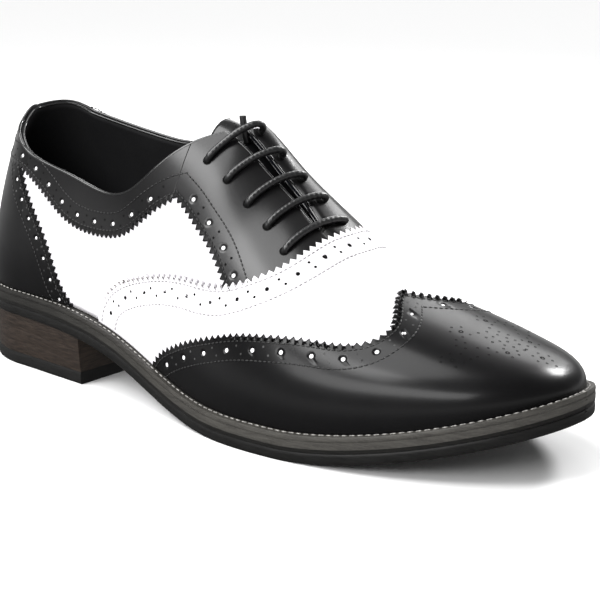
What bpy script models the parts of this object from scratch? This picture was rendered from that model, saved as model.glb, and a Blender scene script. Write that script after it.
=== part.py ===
"""Spectator shoe for the right foot, as the separate closed solids that a shoemaker would join.

Run it with blender --background --python part.py, or from Blender's text editor.
Units are metres. +X points to the toe, +Y to the inner side of the foot, and z = 0 is the ground.
The upper and every piece on it come from one surface, last_points, which is the outside of the lasted shoe.
"""

import math

import bmesh
import bpy
import numpy as np

# Overall sizes
LENGTH = 0.308
BALL_WIDTH = 0.1016
HEEL_WIDTH = 0.065
SEAT_RISE = 0.0255
TOE_SPRING = 0.021
BACK_RISE = 0.0773
INSTEP_RISE = 0.100

# Sole layers, from the ground up
TOP_PIECE = 0.0055
OUTSOLE = 0.0042
MIDSOLE = 0.0042
WELT = 0.0018
WELT_REACH = 0.005
WELT_REACH_HEEL = 0.003
WELT_WIDTH = 0.0105
HEEL_BREAST = 0.084
HEEL_DRAW = 0.0018

# Upper
WALL = 0.002
TOE_DEPTH = 0.0565
THROAT_GAP = 0.0058
THROAT_TOP = 0.150
THROAT_END = 0.1955
CORNER = 0.013
INSOLE = 0.003
INSOLE_CLEAR = 0.0013
INSOLE_TIP_CLEAR = 0.004
TONGUE = 0.002
TONGUE_CLEAR = 0.0017
TONGUE_TOP = 0.1335
TONGUE_END = 0.214
TONGUE_HALF_WIDTH = 0.023
# The tongue's half width at its top as a share, how fast it widens below and how much it narrows to its end
TONGUE_OUTLINE = (0.62, 2.6, 0.25)

# Pieces laid over the upper
OVERLAY_CLEAR = 0.0003
WINGTIP = 0.0014
VAMP = 0.0009
FACING = 0.0010
COLLAR = 0.0010
COUNTER = 0.0012

# Lacing
LACE = 0.0034
EYELET_PITCH = 0.0112
FIRST_EYELET = 0.1445
LACE_BARS = 5
LACE_REST = 0.0004
# At the top bar and at the last: the outer and inner eyelets' distance from the throat's middle line, how far
# the bar leans to the toe, and how high it arches over the throat
OUTER_SPREAD = (0.0128, 0.0170)
INNER_SPREAD = (0.0070, 0.0134)
BAR_LEAN = (0.0110, 0.0075)
BAR_ARCH = (0.0050, 0.0008)
# Power that moves the arch's crown towards the inner eyelets
ARCH_SKEW = 1.6

# Clearance between neighbouring pieces
GAP = 0.0003

# Shares of LENGTH at which the heel's round back begins, the forepart starts to narrow and the toe closes
HEEL_ROUND = 0.136
TREAD_END = 0.69
TOE_START = 0.80
# Behind this share of LENGTH only the collar bounds the upper
THROAT_REACH = 0.33
# The heel's round back is read as stations below zero, down to this share of LENGTH
BACK_STATION = -0.0617

# Rows of the plan: share of LENGTH, shift of the axis and half width as shares of half BALL_WIDTH
PLAN_COLUMNS = ("station", "axis", "half")
PLAN = (
    (0.136, 0.000, 0.640),
    (0.25, -0.049, 0.654),
    (0.36, -0.089, 0.685),
    (0.48, -0.124, 0.793),
    (0.60, -0.108, 0.951),
    (0.69, -0.059, 1.000),
    (0.78, -0.010, 1.000),
    (0.90, 0.039, 1.000),
    (1.00, 0.069, 1.000),
)
PLAN_ROUNDING = (2.1, 0.488)
# Share of LENGTH over which the welt widens from the heel's reach to the forepart's
REACH_WIDENS = 0.12

# Rows of the underside: share of LENGTH, height as a share of SEAT_RISE
UNDERSIDE_COLUMNS = ("station", "height")
UNDERSIDE = (
    (0.0, 1.000),
    (0.136, 0.949),
    (0.27, 0.847),
    (0.36, 0.620),
    (0.45, 0.275),
    (0.54, 0.039),
    (0.60, 0.000),
    (0.69, 0.000),
)
TREAD_START = 0.60
SPRING_START = 0.68
SPRING_CURVE = 1.6

# Rows of the sections: share of LENGTH, rise of the crest as a share of INSTEP_RISE, its sideways place as
# a share of half BALL_WIDTH, and how full the section is low and high on the outer and the inner side
RIB_COLUMNS = ("station", "rise", "crest", "low_out", "high_out", "low_in", "high_in", "flare")
RIBS = (
    (0.136, 1.020, 0.000, 0.40, 0.43, 0.40, 0.68, 0.020),
    (0.25, 1.020, 0.010, 0.41, 0.57, 0.45, 0.65, 0.020),
    (0.36, 1.025, 0.059, 0.44, 0.58, 0.50, 0.62, 0.020),
    (0.45, 1.030, 0.138, 0.44, 0.48, 0.52, 0.58, 0.030),
    (0.50, 1.000, 0.157, 0.42, 0.42, 0.54, 0.56, 0.039),
    (0.55, 0.885, 0.165, 0.42, 0.42, 0.55, 0.56, 0.039),
    (0.60, 0.770, 0.165, 0.45, 0.45, 0.56, 0.56, 0.039),
    (0.65, 0.655, 0.157, 0.50, 0.50, 0.58, 0.56, 0.039),
    (0.70, 0.535, 0.138, 0.55, 0.55, 0.60, 0.58, 0.039),
    (0.75, 0.435, 0.108, 0.60, 0.60, 0.62, 0.62, 0.035),
    (0.80, 0.365, 0.089, 0.62, 0.64, 0.64, 0.66, 0.030),
    (0.90, 0.245, 0.059, 0.66, 0.70, 0.66, 0.70, 0.020),
    (1.00, 0.175, 0.049, 0.70, 0.75, 0.70, 0.75, 0.010),
)
# The back curve: how far each control point stands behind the heel's axis, as a share of half HEEL_WIDTH
BACK_BULGE = (0.0, -0.95, -1.05)
# Power with which the crest comes down to the toe's tip, and the half width below which the flare fades
TOE_CLOSING = 2.5
FLARE_FADES = 0.03

# Rows of the topline: share of LENGTH, height over the feather edge as a share of BACK_RISE, outer and inner
TOPLINE_COLUMNS = ("station", "outer", "inner")
TOPLINE = (
    (-0.055, 1.020, 1.020),
    (0.000, 0.960, 1.036),
    (0.065, 0.890, 1.036),
    (0.146, 0.790, 0.983),
    (0.227, 0.735, 0.942),
    (0.286, 0.708, 0.932),
    (0.325, 0.720, 0.945),
    (0.364, 0.810, 0.990),
    (0.403, 1.004, 1.065),
    (0.442, 1.170, 1.190),
    (0.480, 1.263, 1.295),
)
# Power with which the throat's gap closes to its end
THROAT_TAPER = 0.25
# Rows of the throat's middle line: share of LENGTH, sideways place as a share of half BALL_WIDTH
THROAT_COLUMNS = ("station", "middle")
THROAT = (
    (0.40, -0.045),
    (0.49, -0.045),
    (0.55, -0.036),
    (0.59, -0.050),
    (0.63, -0.100),
    (0.70, -0.060),
    (0.80, 0.020),
    (1.00, 0.060),
)

# Edges of the laid-on pieces in side view: share of LENGTH, height over the feather edge as a share of BACK_RISE
WING_EDGE = (
    (0.435, -0.05),
    (0.448, 0.075),
    (0.478, 0.182),
    (0.531, 0.308),
    (0.593, 0.388),
    (0.688, 0.420),
    (0.756, 0.392),
    (0.783, 0.431),
    (0.775, 0.479),
    (0.750, 0.551),
    (0.742, 0.640),
)
VAMP_EDGE = (
    (0.311, -0.05),
    (0.324, 0.144),
    (0.359, 0.292),
    (0.403, 0.410),
    (0.463, 0.524),
    (0.519, 0.570),
    (0.553, 0.592),
    (0.616, 0.696),
    (0.638, 0.783),
    (0.650, 0.900),
)
FACING_EDGE = (
    (0.405, 1.400),
    (0.422, 0.920),
    (0.439, 0.891),
    (0.482, 0.812),
    (0.517, 0.731),
    (0.560, 0.560),
)
COUNTER_EDGE = (
    (0.095, 0.740),
    (0.130, 0.666),
    (0.149, 0.537),
    (0.177, 0.411),
    (0.205, 0.238),
    (0.226, 0.087),
    (0.252, -0.08),
)
# Depth of the collar piece below the topline: share of LENGTH, depth as a share of BACK_RISE
COLLAR_COLUMNS = ("station", "depth")
COLLAR_DEPTH = (
    (-0.055, 0.200),
    (0.065, 0.165),
    (0.130, 0.110),
    (0.179, 0.160),
    (0.227, 0.240),
    (0.318, 0.225),
    (0.364, 0.230),
    (0.407, 0.260),
    (0.480, 0.300),
)

# How finely the surface is divided
BACK_ROWS = 7
QUARTER_ROWS = 9
CORNER_ROWS = 4
THROAT_ROWS = 6
VAMP_ROWS = 9
TOE_ROWS = 7
RIB_POINTS = 9
EDGE_POINTS = 22
TREAD_POINTS = 2
TONGUE_ROWS = 13
TONGUE_POINTS = 11
LACE_POINTS = 11

# Half width, as a share of half BALL_WIDTH, below which the crest settles onto the toe's axis
CREST_SETTLES = 0.45

# Turns either side of the crest between which a sideways place is looked for, and the halvings of a search
CREST_SPAN = 0.65
HALVINGS = 32

FAR = 0.5
WELD = 1e-6
# The cuts of the two sides run past the middle by this much, so that no face of a cut lies on the back seam
SIDE_LAP = 0.0002
SIDES = ((-1, -FAR, SIDE_LAP), (1, -SIDE_LAP / 2, FAR))
HALF_BALL = BALL_WIDTH / 2
ROUND_X = HEEL_ROUND * LENGTH
BACK_X = BACK_STATION * LENGTH
SOLE_STACK = OUTSOLE + MIDSOLE + WELT + 2 * GAP
FEATHER_RISE = SOLE_STACK + GAP

COLOURS = {
    "polished_black": ((0.012, 0.012, 0.014, 1.0), 0.28),
    "white_leather": ((0.86, 0.85, 0.88, 1.0), 0.42),
    "lining": ((0.02, 0.02, 0.022, 1.0), 0.7),
    "sole_black": ((0.018, 0.018, 0.018, 1.0), 0.55),
    "sole_grey": ((0.075, 0.072, 0.068, 1.0), 0.6),
    "stacked_heel": ((0.060, 0.045, 0.035, 1.0), 0.5),
    "waxed_lace": ((0.01, 0.01, 0.011, 1.0), 0.4),
}


def smooth(columns, rows, name, station):
    """A column of a table read at stations between its rows, on a natural cubic spline."""
    knots = np.array([row[0] for row in rows])
    values = np.array([row[columns.index(name)] for row in rows])
    return spline(knots, values, station)


def spline(knots, values, at):
    """A natural cubic spline through (knots, values), held level past both ends."""
    count = len(knots)
    steps = np.diff(knots)
    matrix = np.eye(count)
    bend = np.zeros(count)
    for i in range(1, count - 1):
        matrix[i, i - 1 : i + 2] = steps[i - 1], 2 * (steps[i - 1] + steps[i]), steps[i]
        bend[i] = 6 * ((values[i + 1] - values[i]) / steps[i] - (values[i] - values[i - 1]) / steps[i - 1])
    curve = np.linalg.solve(matrix, bend)
    at = np.clip(np.asarray(at, float), knots[0], knots[-1])
    k = np.clip(np.searchsorted(knots, at) - 1, 0, count - 2)
    before = (knots[k + 1] - at) / steps[k]
    after = (at - knots[k]) / steps[k]
    pull = (before**3 - before) * curve[k] + (after**3 - after) * curve[k + 1]
    return before * values[k] + after * values[k + 1] + pull * steps[k] ** 2 / 6


def underside(x):
    """Height of the outsole's underside: the raised seat, the arch, the flat tread and the toe spring."""
    share = np.clip(np.asarray(x, float) / LENGTH, 0.0, 1.0)
    arch = smooth(UNDERSIDE_COLUMNS, UNDERSIDE, "height", share) * SEAT_RISE
    arch = np.where(share < TREAD_START, np.maximum(arch, 0.0), 0.0)
    spring = np.clip((share - SPRING_START) / (1.0 - SPRING_START), 0.0, 1.0)
    return arch + TOE_SPRING * spring**SPRING_CURVE


def feather(x):
    """Height of the edge where the upper meets the welt."""
    return underside(x) + FEATHER_RISE


def plan(station, inset, inset_heel):
    """x, axis y and half width of the sole's outline at a station, drawn in by the insets."""
    station = np.asarray(station, float)
    turn = np.clip((station - BACK_X) / (ROUND_X - BACK_X), 0.0, 1.0) * math.pi / 2
    back = station < ROUND_X
    x = np.where(back, ROUND_X - (ROUND_X - inset_heel) * np.cos(turn), station)
    share = x / LENGTH
    axis = smooth(PLAN_COLUMNS, PLAN, "axis", share) * HALF_BALL
    half = smooth(PLAN_COLUMNS, PLAN, "half", np.minimum(share, TREAD_END)) * HALF_BALL
    tip = LENGTH - inset
    narrowing = np.clip((x - TREAD_END * LENGTH) / (tip - TREAD_END * LENGTH), 0.0, 1.0)
    power, root = PLAN_ROUNDING
    widen = np.clip((station - ROUND_X) / (REACH_WIDENS * LENGTH), 0.0, 1.0)
    widen = widen * widen * (3 - 2 * widen)
    drawn = inset_heel + (inset - inset_heel) * widen
    half = (half - drawn) * (1 - narrowing**power) ** root
    heel = (HEEL_WIDTH / 2 - inset_heel) * np.sin(turn)
    return x, np.where(back, 0.0, axis), np.where(back, heel, half)


def last_points(station, turn):
    """Points of the lasted surface.

    A section is a cubic from the feather edge to the crest on each side: turn runs from 0 at the outer
    feather edge over 1 at the crest to 2 at the inner feather edge.
    """
    station, turn = np.broadcast_arrays(np.asarray(station, float), np.asarray(turn, float))
    outer = turn <= 1.0
    side = np.where(outer, -1.0, 1.0)
    v = np.where(outer, turn, 2.0 - turn)
    x, axis, half = plan(station, WELT_REACH, WELT_REACH_HEEL)
    share = np.maximum(station, ROUND_X) / LENGTH
    read = {name: smooth(RIB_COLUMNS, RIBS, name, share) for name in RIB_COLUMNS[1:]}
    low = np.where(outer, read["low_out"], read["low_in"])
    high = np.where(outer, read["high_out"], read["high_in"])
    crest = read["crest"] * HALF_BALL
    tip = LENGTH - WELT_REACH
    closing = np.clip((station - (tip - TOE_DEPTH)) / TOE_DEPTH, 0.0, 1.0)
    rise = read["rise"] * INSTEP_RISE * np.sqrt(1.0 - closing**TOE_CLOSING)
    flare = read["flare"] * HALF_BALL * np.minimum(1.0, half / FLARE_FADES)
    b0, b1, b2, b3 = (1 - v) ** 3, 3 * v * (1 - v) ** 2, 3 * v * v * (1 - v), v**3
    crest = axis + (crest - axis) * np.minimum(1.0, half / (CREST_SETTLES * HALF_BALL))
    edge = axis + side * half
    y = edge * b0 + (edge + side * flare) * b1 + (crest + side * np.abs(edge - crest) * high) * b2 + crest * b3
    z = feather(x) + rise * (low * b1 + b2 + b3)
    # The heel's round back: the same sections fanned about an upright axis
    around = np.clip((station - BACK_X) / (ROUND_X - BACK_X), 0.0, 1.0) * math.pi / 2
    reach = ROUND_X - WELT_REACH_HEEL
    bulges = [share_of * HEEL_WIDTH / 2 for share_of in BACK_BULGE]
    behind = reach * b0 + (reach + bulges[0]) * b1 + (reach + bulges[1]) * b2 + (reach + bulges[2]) * b3
    seat_half = HEEL_WIDTH / 2 - WELT_REACH_HEEL
    across = seat_half * b0 + (seat_half + flare) * b1 + seat_half * high * b2
    back = station < ROUND_X
    x = np.where(back, ROUND_X - behind * np.cos(around), x)
    y = np.where(back, side * across * np.sin(around), y)
    return np.stack(np.broadcast_arrays(x, y, z), axis=-1)


def turn_at_height(station, side, height):
    """The turn at which the surface reaches a height, on the outer (-1) or inner (+1) side."""
    station = np.asarray(station, float)
    below, above = np.zeros_like(station), np.ones_like(station)
    for _ in range(HALVINGS):
        middle = (below + above) / 2
        turn = middle if side < 0 else 2.0 - middle
        low = last_points(station, turn)[..., 2] < height
        below, above = np.where(low, middle, below), np.where(low, above, middle)
    return below if side < 0 else 2.0 - below


def turn_at_side(station, y):
    """The turn near the crest at which the surface reaches a sideways place."""
    station = np.asarray(station, float)
    below, above = np.full_like(station, 1.0 - CREST_SPAN), np.full_like(station, 1.0 + CREST_SPAN)
    for _ in range(HALVINGS):
        middle = (below + above) / 2
        low = last_points(station, middle)[..., 1] < y
        below, above = np.where(low, middle, below), np.where(low, above, middle)
    return below


def throat_middle(x):
    """Sideways place of the throat's middle line."""
    return smooth(THROAT_COLUMNS, THROAT, "middle", np.asarray(x) / LENGTH) * HALF_BALL


def topline(station, side):
    """Height of the collar's edge over the ground."""
    name = "outer" if side < 0 else "inner"
    over = smooth(TOPLINE_COLUMNS, TOPLINE, name, np.asarray(station) / LENGTH) * BACK_RISE
    return feather(plan(station, WELT_REACH, WELT_REACH_HEEL)[0]) + over


def upper_edge(station, side):
    """The turn where the upper ends: at the collar, at the throat, or at the middle line past the throat."""
    station = np.asarray(station, float)
    left = np.clip((THROAT_END - station) / (THROAT_END - THROAT_TOP), 0.0, 1.0)
    gap = THROAT_GAP / 2 * left**THROAT_TAPER
    throat = turn_at_side(station, throat_middle(station) + side * gap)
    throat = np.where(station < THROAT_REACH * LENGTH, 1.0, throat)
    collar = turn_at_height(station, side, topline(station, side))
    collar = np.where(station < THROAT_TOP, collar, throat)
    return np.minimum(collar, throat) if side < 0 else np.maximum(collar, throat)


def surface_stations():
    """Stations of the surface's rows, from the middle of the back to the tip of the toe."""
    tip = LENGTH - WELT_REACH
    toe = TOE_START * LENGTH
    closing = toe + (tip - toe) * np.sin(np.linspace(0.0, math.pi / 2, TOE_ROWS + 1))
    return np.concatenate(
        [
            np.linspace(BACK_X, ROUND_X, BACK_ROWS, endpoint=False),
            np.linspace(ROUND_X, THROAT_TOP - CORNER, QUARTER_ROWS, endpoint=False),
            np.linspace(THROAT_TOP - CORNER, THROAT_TOP, CORNER_ROWS, endpoint=False),
            np.linspace(THROAT_TOP, THROAT_END, THROAT_ROWS, endpoint=False),
            np.linspace(THROAT_END, toe, VAMP_ROWS, endpoint=False),
            closing,
        ]
    )


def sole_stations(end=LENGTH):
    """Stations of a sole layer, with rows where the tread and the toe spring begin."""
    fixed = np.array([TREAD_START, TREAD_END]) * LENGTH
    toe = TOE_START * LENGTH
    rows = np.concatenate(
        [
            np.linspace(BACK_X, ROUND_X, BACK_ROWS, endpoint=False),
            np.linspace(ROUND_X, fixed[0], QUARTER_ROWS, endpoint=False),
            np.linspace(fixed[0], fixed[1], TREAD_POINTS, endpoint=False),
            np.linspace(fixed[1], toe, 3, endpoint=False),
            toe + (LENGTH - toe) * np.sin(np.linspace(0.0, math.pi / 2, TOE_ROWS + 1)),
        ]
    )
    return np.append(rows[rows < end - WELD], end)


def material(name):
    """A Principled material with a named colour and roughness."""
    found = bpy.data.materials.get(name)
    if found:
        return found
    colour, roughness = COLOURS[name]
    made = bpy.data.materials.new(name)
    made.use_nodes = True
    shader = made.node_tree.nodes["Principled BSDF"]
    shader.inputs["Base Color"].default_value = colour
    shader.inputs["Roughness"].default_value = roughness
    made.diffuse_color = colour
    return made


def make_object(name, mesh, collection, finish=None):
    """An object of the mesh, linked to the collection and shaded smooth where it has a finish."""
    made = bpy.data.objects.new(name, mesh)
    collection.objects.link(made)
    if finish:
        mesh.materials.append(material(finish))
        mesh.shade_smooth()
        mesh.set_sharp_from_angle(angle=math.radians(40))
    else:
        made.hide_render = True
        made.display_type = "WIRE"
    return made


def grid_faces(rows, columns, start, flip):
    """Quads of a grid of points, numbered row by row from start."""
    faces = []
    for r in range(rows - 1):
        for c in range(columns - 1):
            a = start + r * columns + c
            face = (a, a + columns, a + columns + 1, a + 1)
            faces.append(face[::-1] if flip else face)
    return faces


def joined_mesh(name, points, faces):
    """A mesh with points that coincide made one and empty faces dropped."""
    built = bmesh.new()
    made = [built.verts.new(point) for point in points]
    for face in faces:
        built.faces.new([made[i] for i in face])
    bmesh.ops.remove_doubles(built, verts=built.verts, dist=WELD)
    bmesh.ops.dissolve_degenerate(built, edges=built.edges, dist=WELD)
    bmesh.ops.triangulate(built, faces=built.faces)
    mesh = bpy.data.meshes.new(name)
    built.to_mesh(mesh)
    built.free()
    return mesh


def upper_sheet(name):
    """The open outside surface of the upper: two quarters that join at the back and past the throat."""
    stations = surface_stations()
    spread = np.linspace(0.0, 1.0, RIB_POINTS + 1)
    points, faces = [], []
    for side in (-1, 1):
        edge = upper_edge(stations, side)
        foot = 0.0 if side < 0 else 2.0
        turns = foot + (edge - foot)[:, None] * spread[None, :]
        grid = last_points(stations[:, None], turns)
        faces += grid_faces(len(stations), RIB_POINTS + 1, len(points), side > 0)
        points += [tuple(point) for point in grid.reshape(-1, 3)]
    return joined_mesh(name, points, faces)


def thicken(made, depth, outwards, clear=0.0):
    """Turns an open sheet into a wall: depth thick, inwards or outwards, standing clear of the sheet."""
    if clear:
        shift = made.modifiers.new("Stand clear", "DISPLACE")
        shift.mid_level = 0.0
        shift.strength = clear
        shift.direction = "NORMAL"
    wall = made.modifiers.new("Wall", "SOLIDIFY")
    wall.thickness = depth
    wall.offset = 1.0 if outwards else -1.0
    wall.use_even_offset = False


def side_view_path(rows, grow=0.0):
    """Points (x, z) of an edge in side view, through its table's rows, moved sideways by grow."""
    table = np.array(rows)
    x = table[:, 0] * LENGTH
    z = feather(x) + table[:, 1] * BACK_RISE
    run = np.concatenate([[0.0], np.cumsum(np.hypot(np.diff(x), np.diff(z)))])
    at = np.linspace(0.0, run[-1], EDGE_POINTS)
    path = np.stack([spline(run, x, at), spline(run, z, at)], axis=1)
    along = np.gradient(path, axis=0)
    along /= np.linalg.norm(along, axis=1)[:, None]
    return path + grow * np.stack([-along[:, 1], along[:, 0]], axis=1)


def prism(name, outline, low, high, collection):
    """A cutter: a side view outline drawn out across the shoe from y = low to y = high."""
    built = bmesh.new()
    loop = [built.verts.new((x, low, z)) for x, z in outline]
    face = built.faces.new(loop)
    drawn = bmesh.ops.extrude_face_region(built, geom=[face])
    moved = [item for item in drawn["geom"] if isinstance(item, bmesh.types.BMVert)]
    bmesh.ops.translate(built, verts=moved, vec=(0.0, high - low, 0.0))
    bmesh.ops.recalc_face_normals(built, faces=built.faces)
    mesh = bpy.data.meshes.new(name)
    built.to_mesh(mesh)
    built.free()
    return make_object(name, mesh, collection)


def cut(made, cutter, operation):
    """Adds a Boolean of the cutter to the object."""
    step = made.modifiers.new(f"{operation.title()} {cutter.name}", "BOOLEAN")
    step.operation = operation
    step.object = cutter
    step.solver = "EXACT"


def ahead_of(path):
    """The outline of everything in front of a path that runs up from the feather edge."""
    top, low = path[-1], path[0]
    return [*path, (top[0], FAR), (LENGTH + FAR, FAR), (LENGTH + FAR, -FAR), (low[0], -FAR)]


def behind(path):
    """The outline of everything behind a path that runs down to the feather edge."""
    top, low = path[0], path[-1]
    return [*path, (low[0], -FAR), (-FAR, -FAR), (-FAR, top[1])]


def overlay(name, depth, finish, collection):
    """A wall that stands clear of the whole upper, before it is cut to its piece."""
    made = make_object(name, upper_sheet(name), collection, finish)
    thicken(made, depth, outwards=True, clear=OVERLAY_CLEAR)
    return made


def slab(name, stations, insets_top, insets_low, top, low, finish, collection):
    """A sole layer between two faces whose outlines are drawn in by their own insets (forepart, heel)."""
    points, faces = [], []
    for insets, height, flip in ((insets_top, top, False), (insets_low, low, True)):
        x, axis, half = plan(stations, *insets)
        z = height(x)
        lines = [np.stack([x, axis + share * half, z], axis=1) for share in (-1.0, 0.0, 1.0)]
        grid = np.stack(lines, axis=1)
        faces += grid_faces(len(stations), 3, len(points), flip)
        points += [tuple(point) for point in grid.reshape(-1, 3)]
    count = len(stations)
    below = 3 * count
    for r in range(count - 1):
        a = 3 * r
        faces.append((a, below + a, below + a + 3, a + 3))
        faces.append((a + 2, a + 5, below + a + 5, below + a + 2))
    end = 3 * (count - 1)
    if plan(stations[-1], *insets_top)[2] > WELD:
        faces.append((end, below + end, below + end + 1, end + 1))
        faces.append((end + 1, below + end + 1, below + end + 2, end + 2))
    mesh = joined_mesh(name, points, faces)
    outward(mesh)
    return make_object(name, mesh, collection, finish)


def outward(mesh):
    """Turns every face of a closed mesh outwards."""
    built = bmesh.new()
    built.from_mesh(mesh)
    bmesh.ops.recalc_face_normals(built, faces=built.faces)
    built.to_mesh(mesh)
    built.free()


def level(height):
    """A flat face at a height."""
    return lambda x: np.full_like(x, height)


def over_underside(height):
    """A face that follows the outsole's underside at a height over it."""
    return lambda x: underside(x) + height


def build_sole(collection):
    """Top piece, heel stack, outsole and midsole."""
    heel_rows = sole_stations(HEEL_BREAST)
    drawn = (HEEL_DRAW, HEEL_DRAW)
    slight = (HEEL_DRAW / 2, HEEL_DRAW / 2)
    slab("heel_top_piece", heel_rows, drawn, drawn, level(TOP_PIECE), level(0.0), "sole_black", collection)
    slab(
        "heel_stack", heel_rows, slight, drawn, over_underside(-GAP), level(TOP_PIECE + GAP), "stacked_heel", collection
    )
    rows = sole_stations()
    edge = (0.0, 0.0)
    slab("outsole", rows, edge, edge, over_underside(OUTSOLE), over_underside(0.0), "sole_black", collection)
    low = OUTSOLE + GAP
    slab("midsole", rows, edge, edge, over_underside(low + MIDSOLE), over_underside(low), "sole_grey", collection)


def build_welt(collection):
    """The welt: a flat strip that runs right round the edge, under the foot of the upper."""
    rows = sole_stations()
    low = OUTSOLE + MIDSOLE + 2 * GAP
    loops = []
    for drawn, height in ((0.0, low), (0.0, low + WELT), (WELT_WIDTH, low + WELT), (WELT_WIDTH, low)):
        x, axis, half = plan(rows, drawn, drawn)
        x = np.where(rows >= ROUND_X, ROUND_X + (x - ROUND_X) * (LENGTH - drawn - ROUND_X) / (LENGTH - ROUND_X), x)
        _, axis, half = plan(np.where(rows >= ROUND_X, x, rows), drawn, drawn)
        z = underside(x) + height
        outer = np.stack([x, axis - half, z], axis=1)
        inner = np.stack([x, axis + half, z], axis=1)
        loops.append(np.concatenate([outer, inner[-2:0:-1]]))
    count = len(loops[0])
    points = [tuple(point) for loop in loops for point in loop]
    faces = []
    for k in range(4):
        for i in range(count):
            j = (i + 1) % count
            faces.append((k * count + i, k * count + j, (k + 1) % 4 * count + j, (k + 1) % 4 * count + i))
    mesh = joined_mesh("welt", points, faces)
    outward(mesh)
    make_object("welt", mesh, collection, "sole_black")


def build_insole(collection):
    """The insole: a sheet inside the upper's foot, on the welt."""
    drawn = WELT_REACH + WALL + INSOLE_CLEAR
    drawn_heel = WELT_REACH_HEEL + WALL + INSOLE_CLEAR
    rows = sole_stations(LENGTH - drawn - INSOLE_TIP_CLEAR)
    low = SOLE_STACK + GAP
    insets = (drawn, drawn_heel)
    slab("insole", rows, insets, insets, over_underside(low + INSOLE), over_underside(low), "lining", collection)


def build_upper(collection):
    """The upper: one hollow wall, open at the collar, the throat and underneath."""
    made = make_object("upper", upper_sheet("upper"), collection, "white_leather")
    thicken(made, WALL, outwards=False)


def foot_cutter(collection):
    """The cutter of everything below the feather edge, where the laid-on pieces end on the welt."""
    x = np.linspace(0.0, LENGTH, 2 * EDGE_POINTS)
    line = list(zip(x, feather(x)))
    outline = [(-FAR, line[0][1]), *line, (LENGTH + FAR, line[-1][1]), (LENGTH + FAR, -FAR), (-FAR, -FAR)]
    return prism("cut_foot", outline, -FAR, FAR, collection)


def build_overlays(parts, cutters):
    """Wingtip, vamp, two facings, collar and counter, each cut from a wall that stands on the upper."""
    foot = foot_cutter(cutters)
    wing = side_view_path(WING_EDGE)
    vamp = side_view_path(VAMP_EDGE)
    facing = side_view_path(FACING_EDGE)
    counter = side_view_path(COUNTER_EDGE)

    made = overlay("wingtip", WINGTIP, "polished_black", parts)
    cut(made, prism("cut_wing", ahead_of(wing), -FAR, FAR, cutters), "INTERSECT")
    cut(made, foot, "DIFFERENCE")

    made = overlay("vamp", VAMP, "white_leather", parts)
    cut(made, prism("cut_vamp", ahead_of(vamp), -FAR, FAR, cutters), "INTERSECT")
    cut(made, prism("cut_vamp_front", ahead_of(side_view_path(WING_EDGE, GAP)), -FAR, FAR, cutters), "DIFFERENCE")
    cut(made, foot, "DIFFERENCE")

    vamp_clear = prism("cut_facing_front", ahead_of(side_view_path(VAMP_EDGE, GAP)), -FAR, FAR, cutters)
    facing_keep = [*facing, (facing[-1][0], -FAR), (LENGTH + FAR, -FAR), (LENGTH + FAR, FAR), (facing[0][0], FAR)]
    middle = throat_middle(THROAT_TOP)
    for name, low, high in (("facing_outer", -FAR, middle), ("facing_inner", middle, FAR)):
        made = overlay(name, FACING, "polished_black", parts)
        cut(made, prism(f"cut_{name}", facing_keep, low, high, cutters), "INTERSECT")
        cut(made, vamp_clear, "DIFFERENCE")

    made = overlay("counter", COUNTER, "polished_black", parts)
    cut(made, prism("cut_counter", behind(counter), -FAR, FAR, cutters), "INTERSECT")
    cut(made, foot, "DIFFERENCE")
    for side, low, high in SIDES:
        path = collar_path(side, GAP)
        above = [*path, (path[-1][0], FAR), (-FAR, FAR), (-FAR, path[0][1])]
        cut(made, prism(f"cut_counter_top_{side + 1}", above, low, high, cutters), "DIFFERENCE")

    made = overlay("collar", COLLAR, "polished_black", parts)
    for side, low, high in SIDES:
        path = collar_path(side)
        below = [*path, (LENGTH + FAR, path[-1][1]), (LENGTH + FAR, -FAR), (-FAR, -FAR), (-FAR, path[0][1])]
        cut(made, prism(f"cut_collar_{side + 1}", below, low, high, cutters), "DIFFERENCE")
    front = side_view_path(FACING_EDGE, -GAP)
    ahead = [*front, (front[-1][0], -FAR), (LENGTH + FAR, -FAR), (LENGTH + FAR, FAR), (front[0][0], FAR)]
    cut(made, prism("cut_collar_front", ahead, -FAR, FAR, cutters), "DIFFERENCE")


def collar_path(side, drop=0.0):
    """The collar's lower edge in side view, from the back to past the facing."""
    stations = np.linspace(BACK_X, THROAT_TOP, EDGE_POINTS)
    depth = smooth(COLLAR_COLUMNS, COLLAR_DEPTH, "depth", stations / LENGTH) * BACK_RISE
    height = topline(stations, side) - depth - drop
    turn = turn_at_height(stations, side, height)
    point = last_points(stations, turn)
    return np.stack([point[:, 0], height], axis=1)


def build_tongue(collection):
    """The tongue: a sheet under the throat, clear of the upper's wall."""
    stations = np.linspace(TONGUE_TOP, TONGUE_END, TONGUE_ROWS)
    share = (stations - TONGUE_TOP) / (TONGUE_END - TONGUE_TOP)
    top, widens, narrows = TONGUE_OUTLINE
    half = TONGUE_HALF_WIDTH * np.clip(top + widens * share, 0.0, 1.0) * (1.0 - narrows * share)
    across = np.linspace(-1.0, 1.0, TONGUE_POINTS)
    y = throat_middle(stations)[:, None] + half[:, None] * across[None, :]
    rows = np.broadcast_to(stations[:, None], y.shape)
    grid = last_points(rows, turn_at_side(rows, y))
    faces = grid_faces(len(stations), len(across), 0, False)
    mesh = joined_mesh("tongue", [tuple(point) for point in grid.reshape(-1, 3)], faces)
    made = make_object("tongue", mesh, collection, "polished_black")
    thicken(made, TONGUE, outwards=False, clear=-(WALL + TONGUE_CLEAR))


def surface_lift(station, turn, lift):
    """A point of the surface moved out along its normal."""
    step = 1e-4
    here = last_points(station, turn)
    along = last_points(station + step, turn) - last_points(station - step, turn)
    up = last_points(station, turn + step) - last_points(station, turn - step)
    normal = np.cross(along, up)
    normal /= np.linalg.norm(normal, axis=-1, keepdims=True)
    return here + normal * np.asarray(lift)[..., None]


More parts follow.
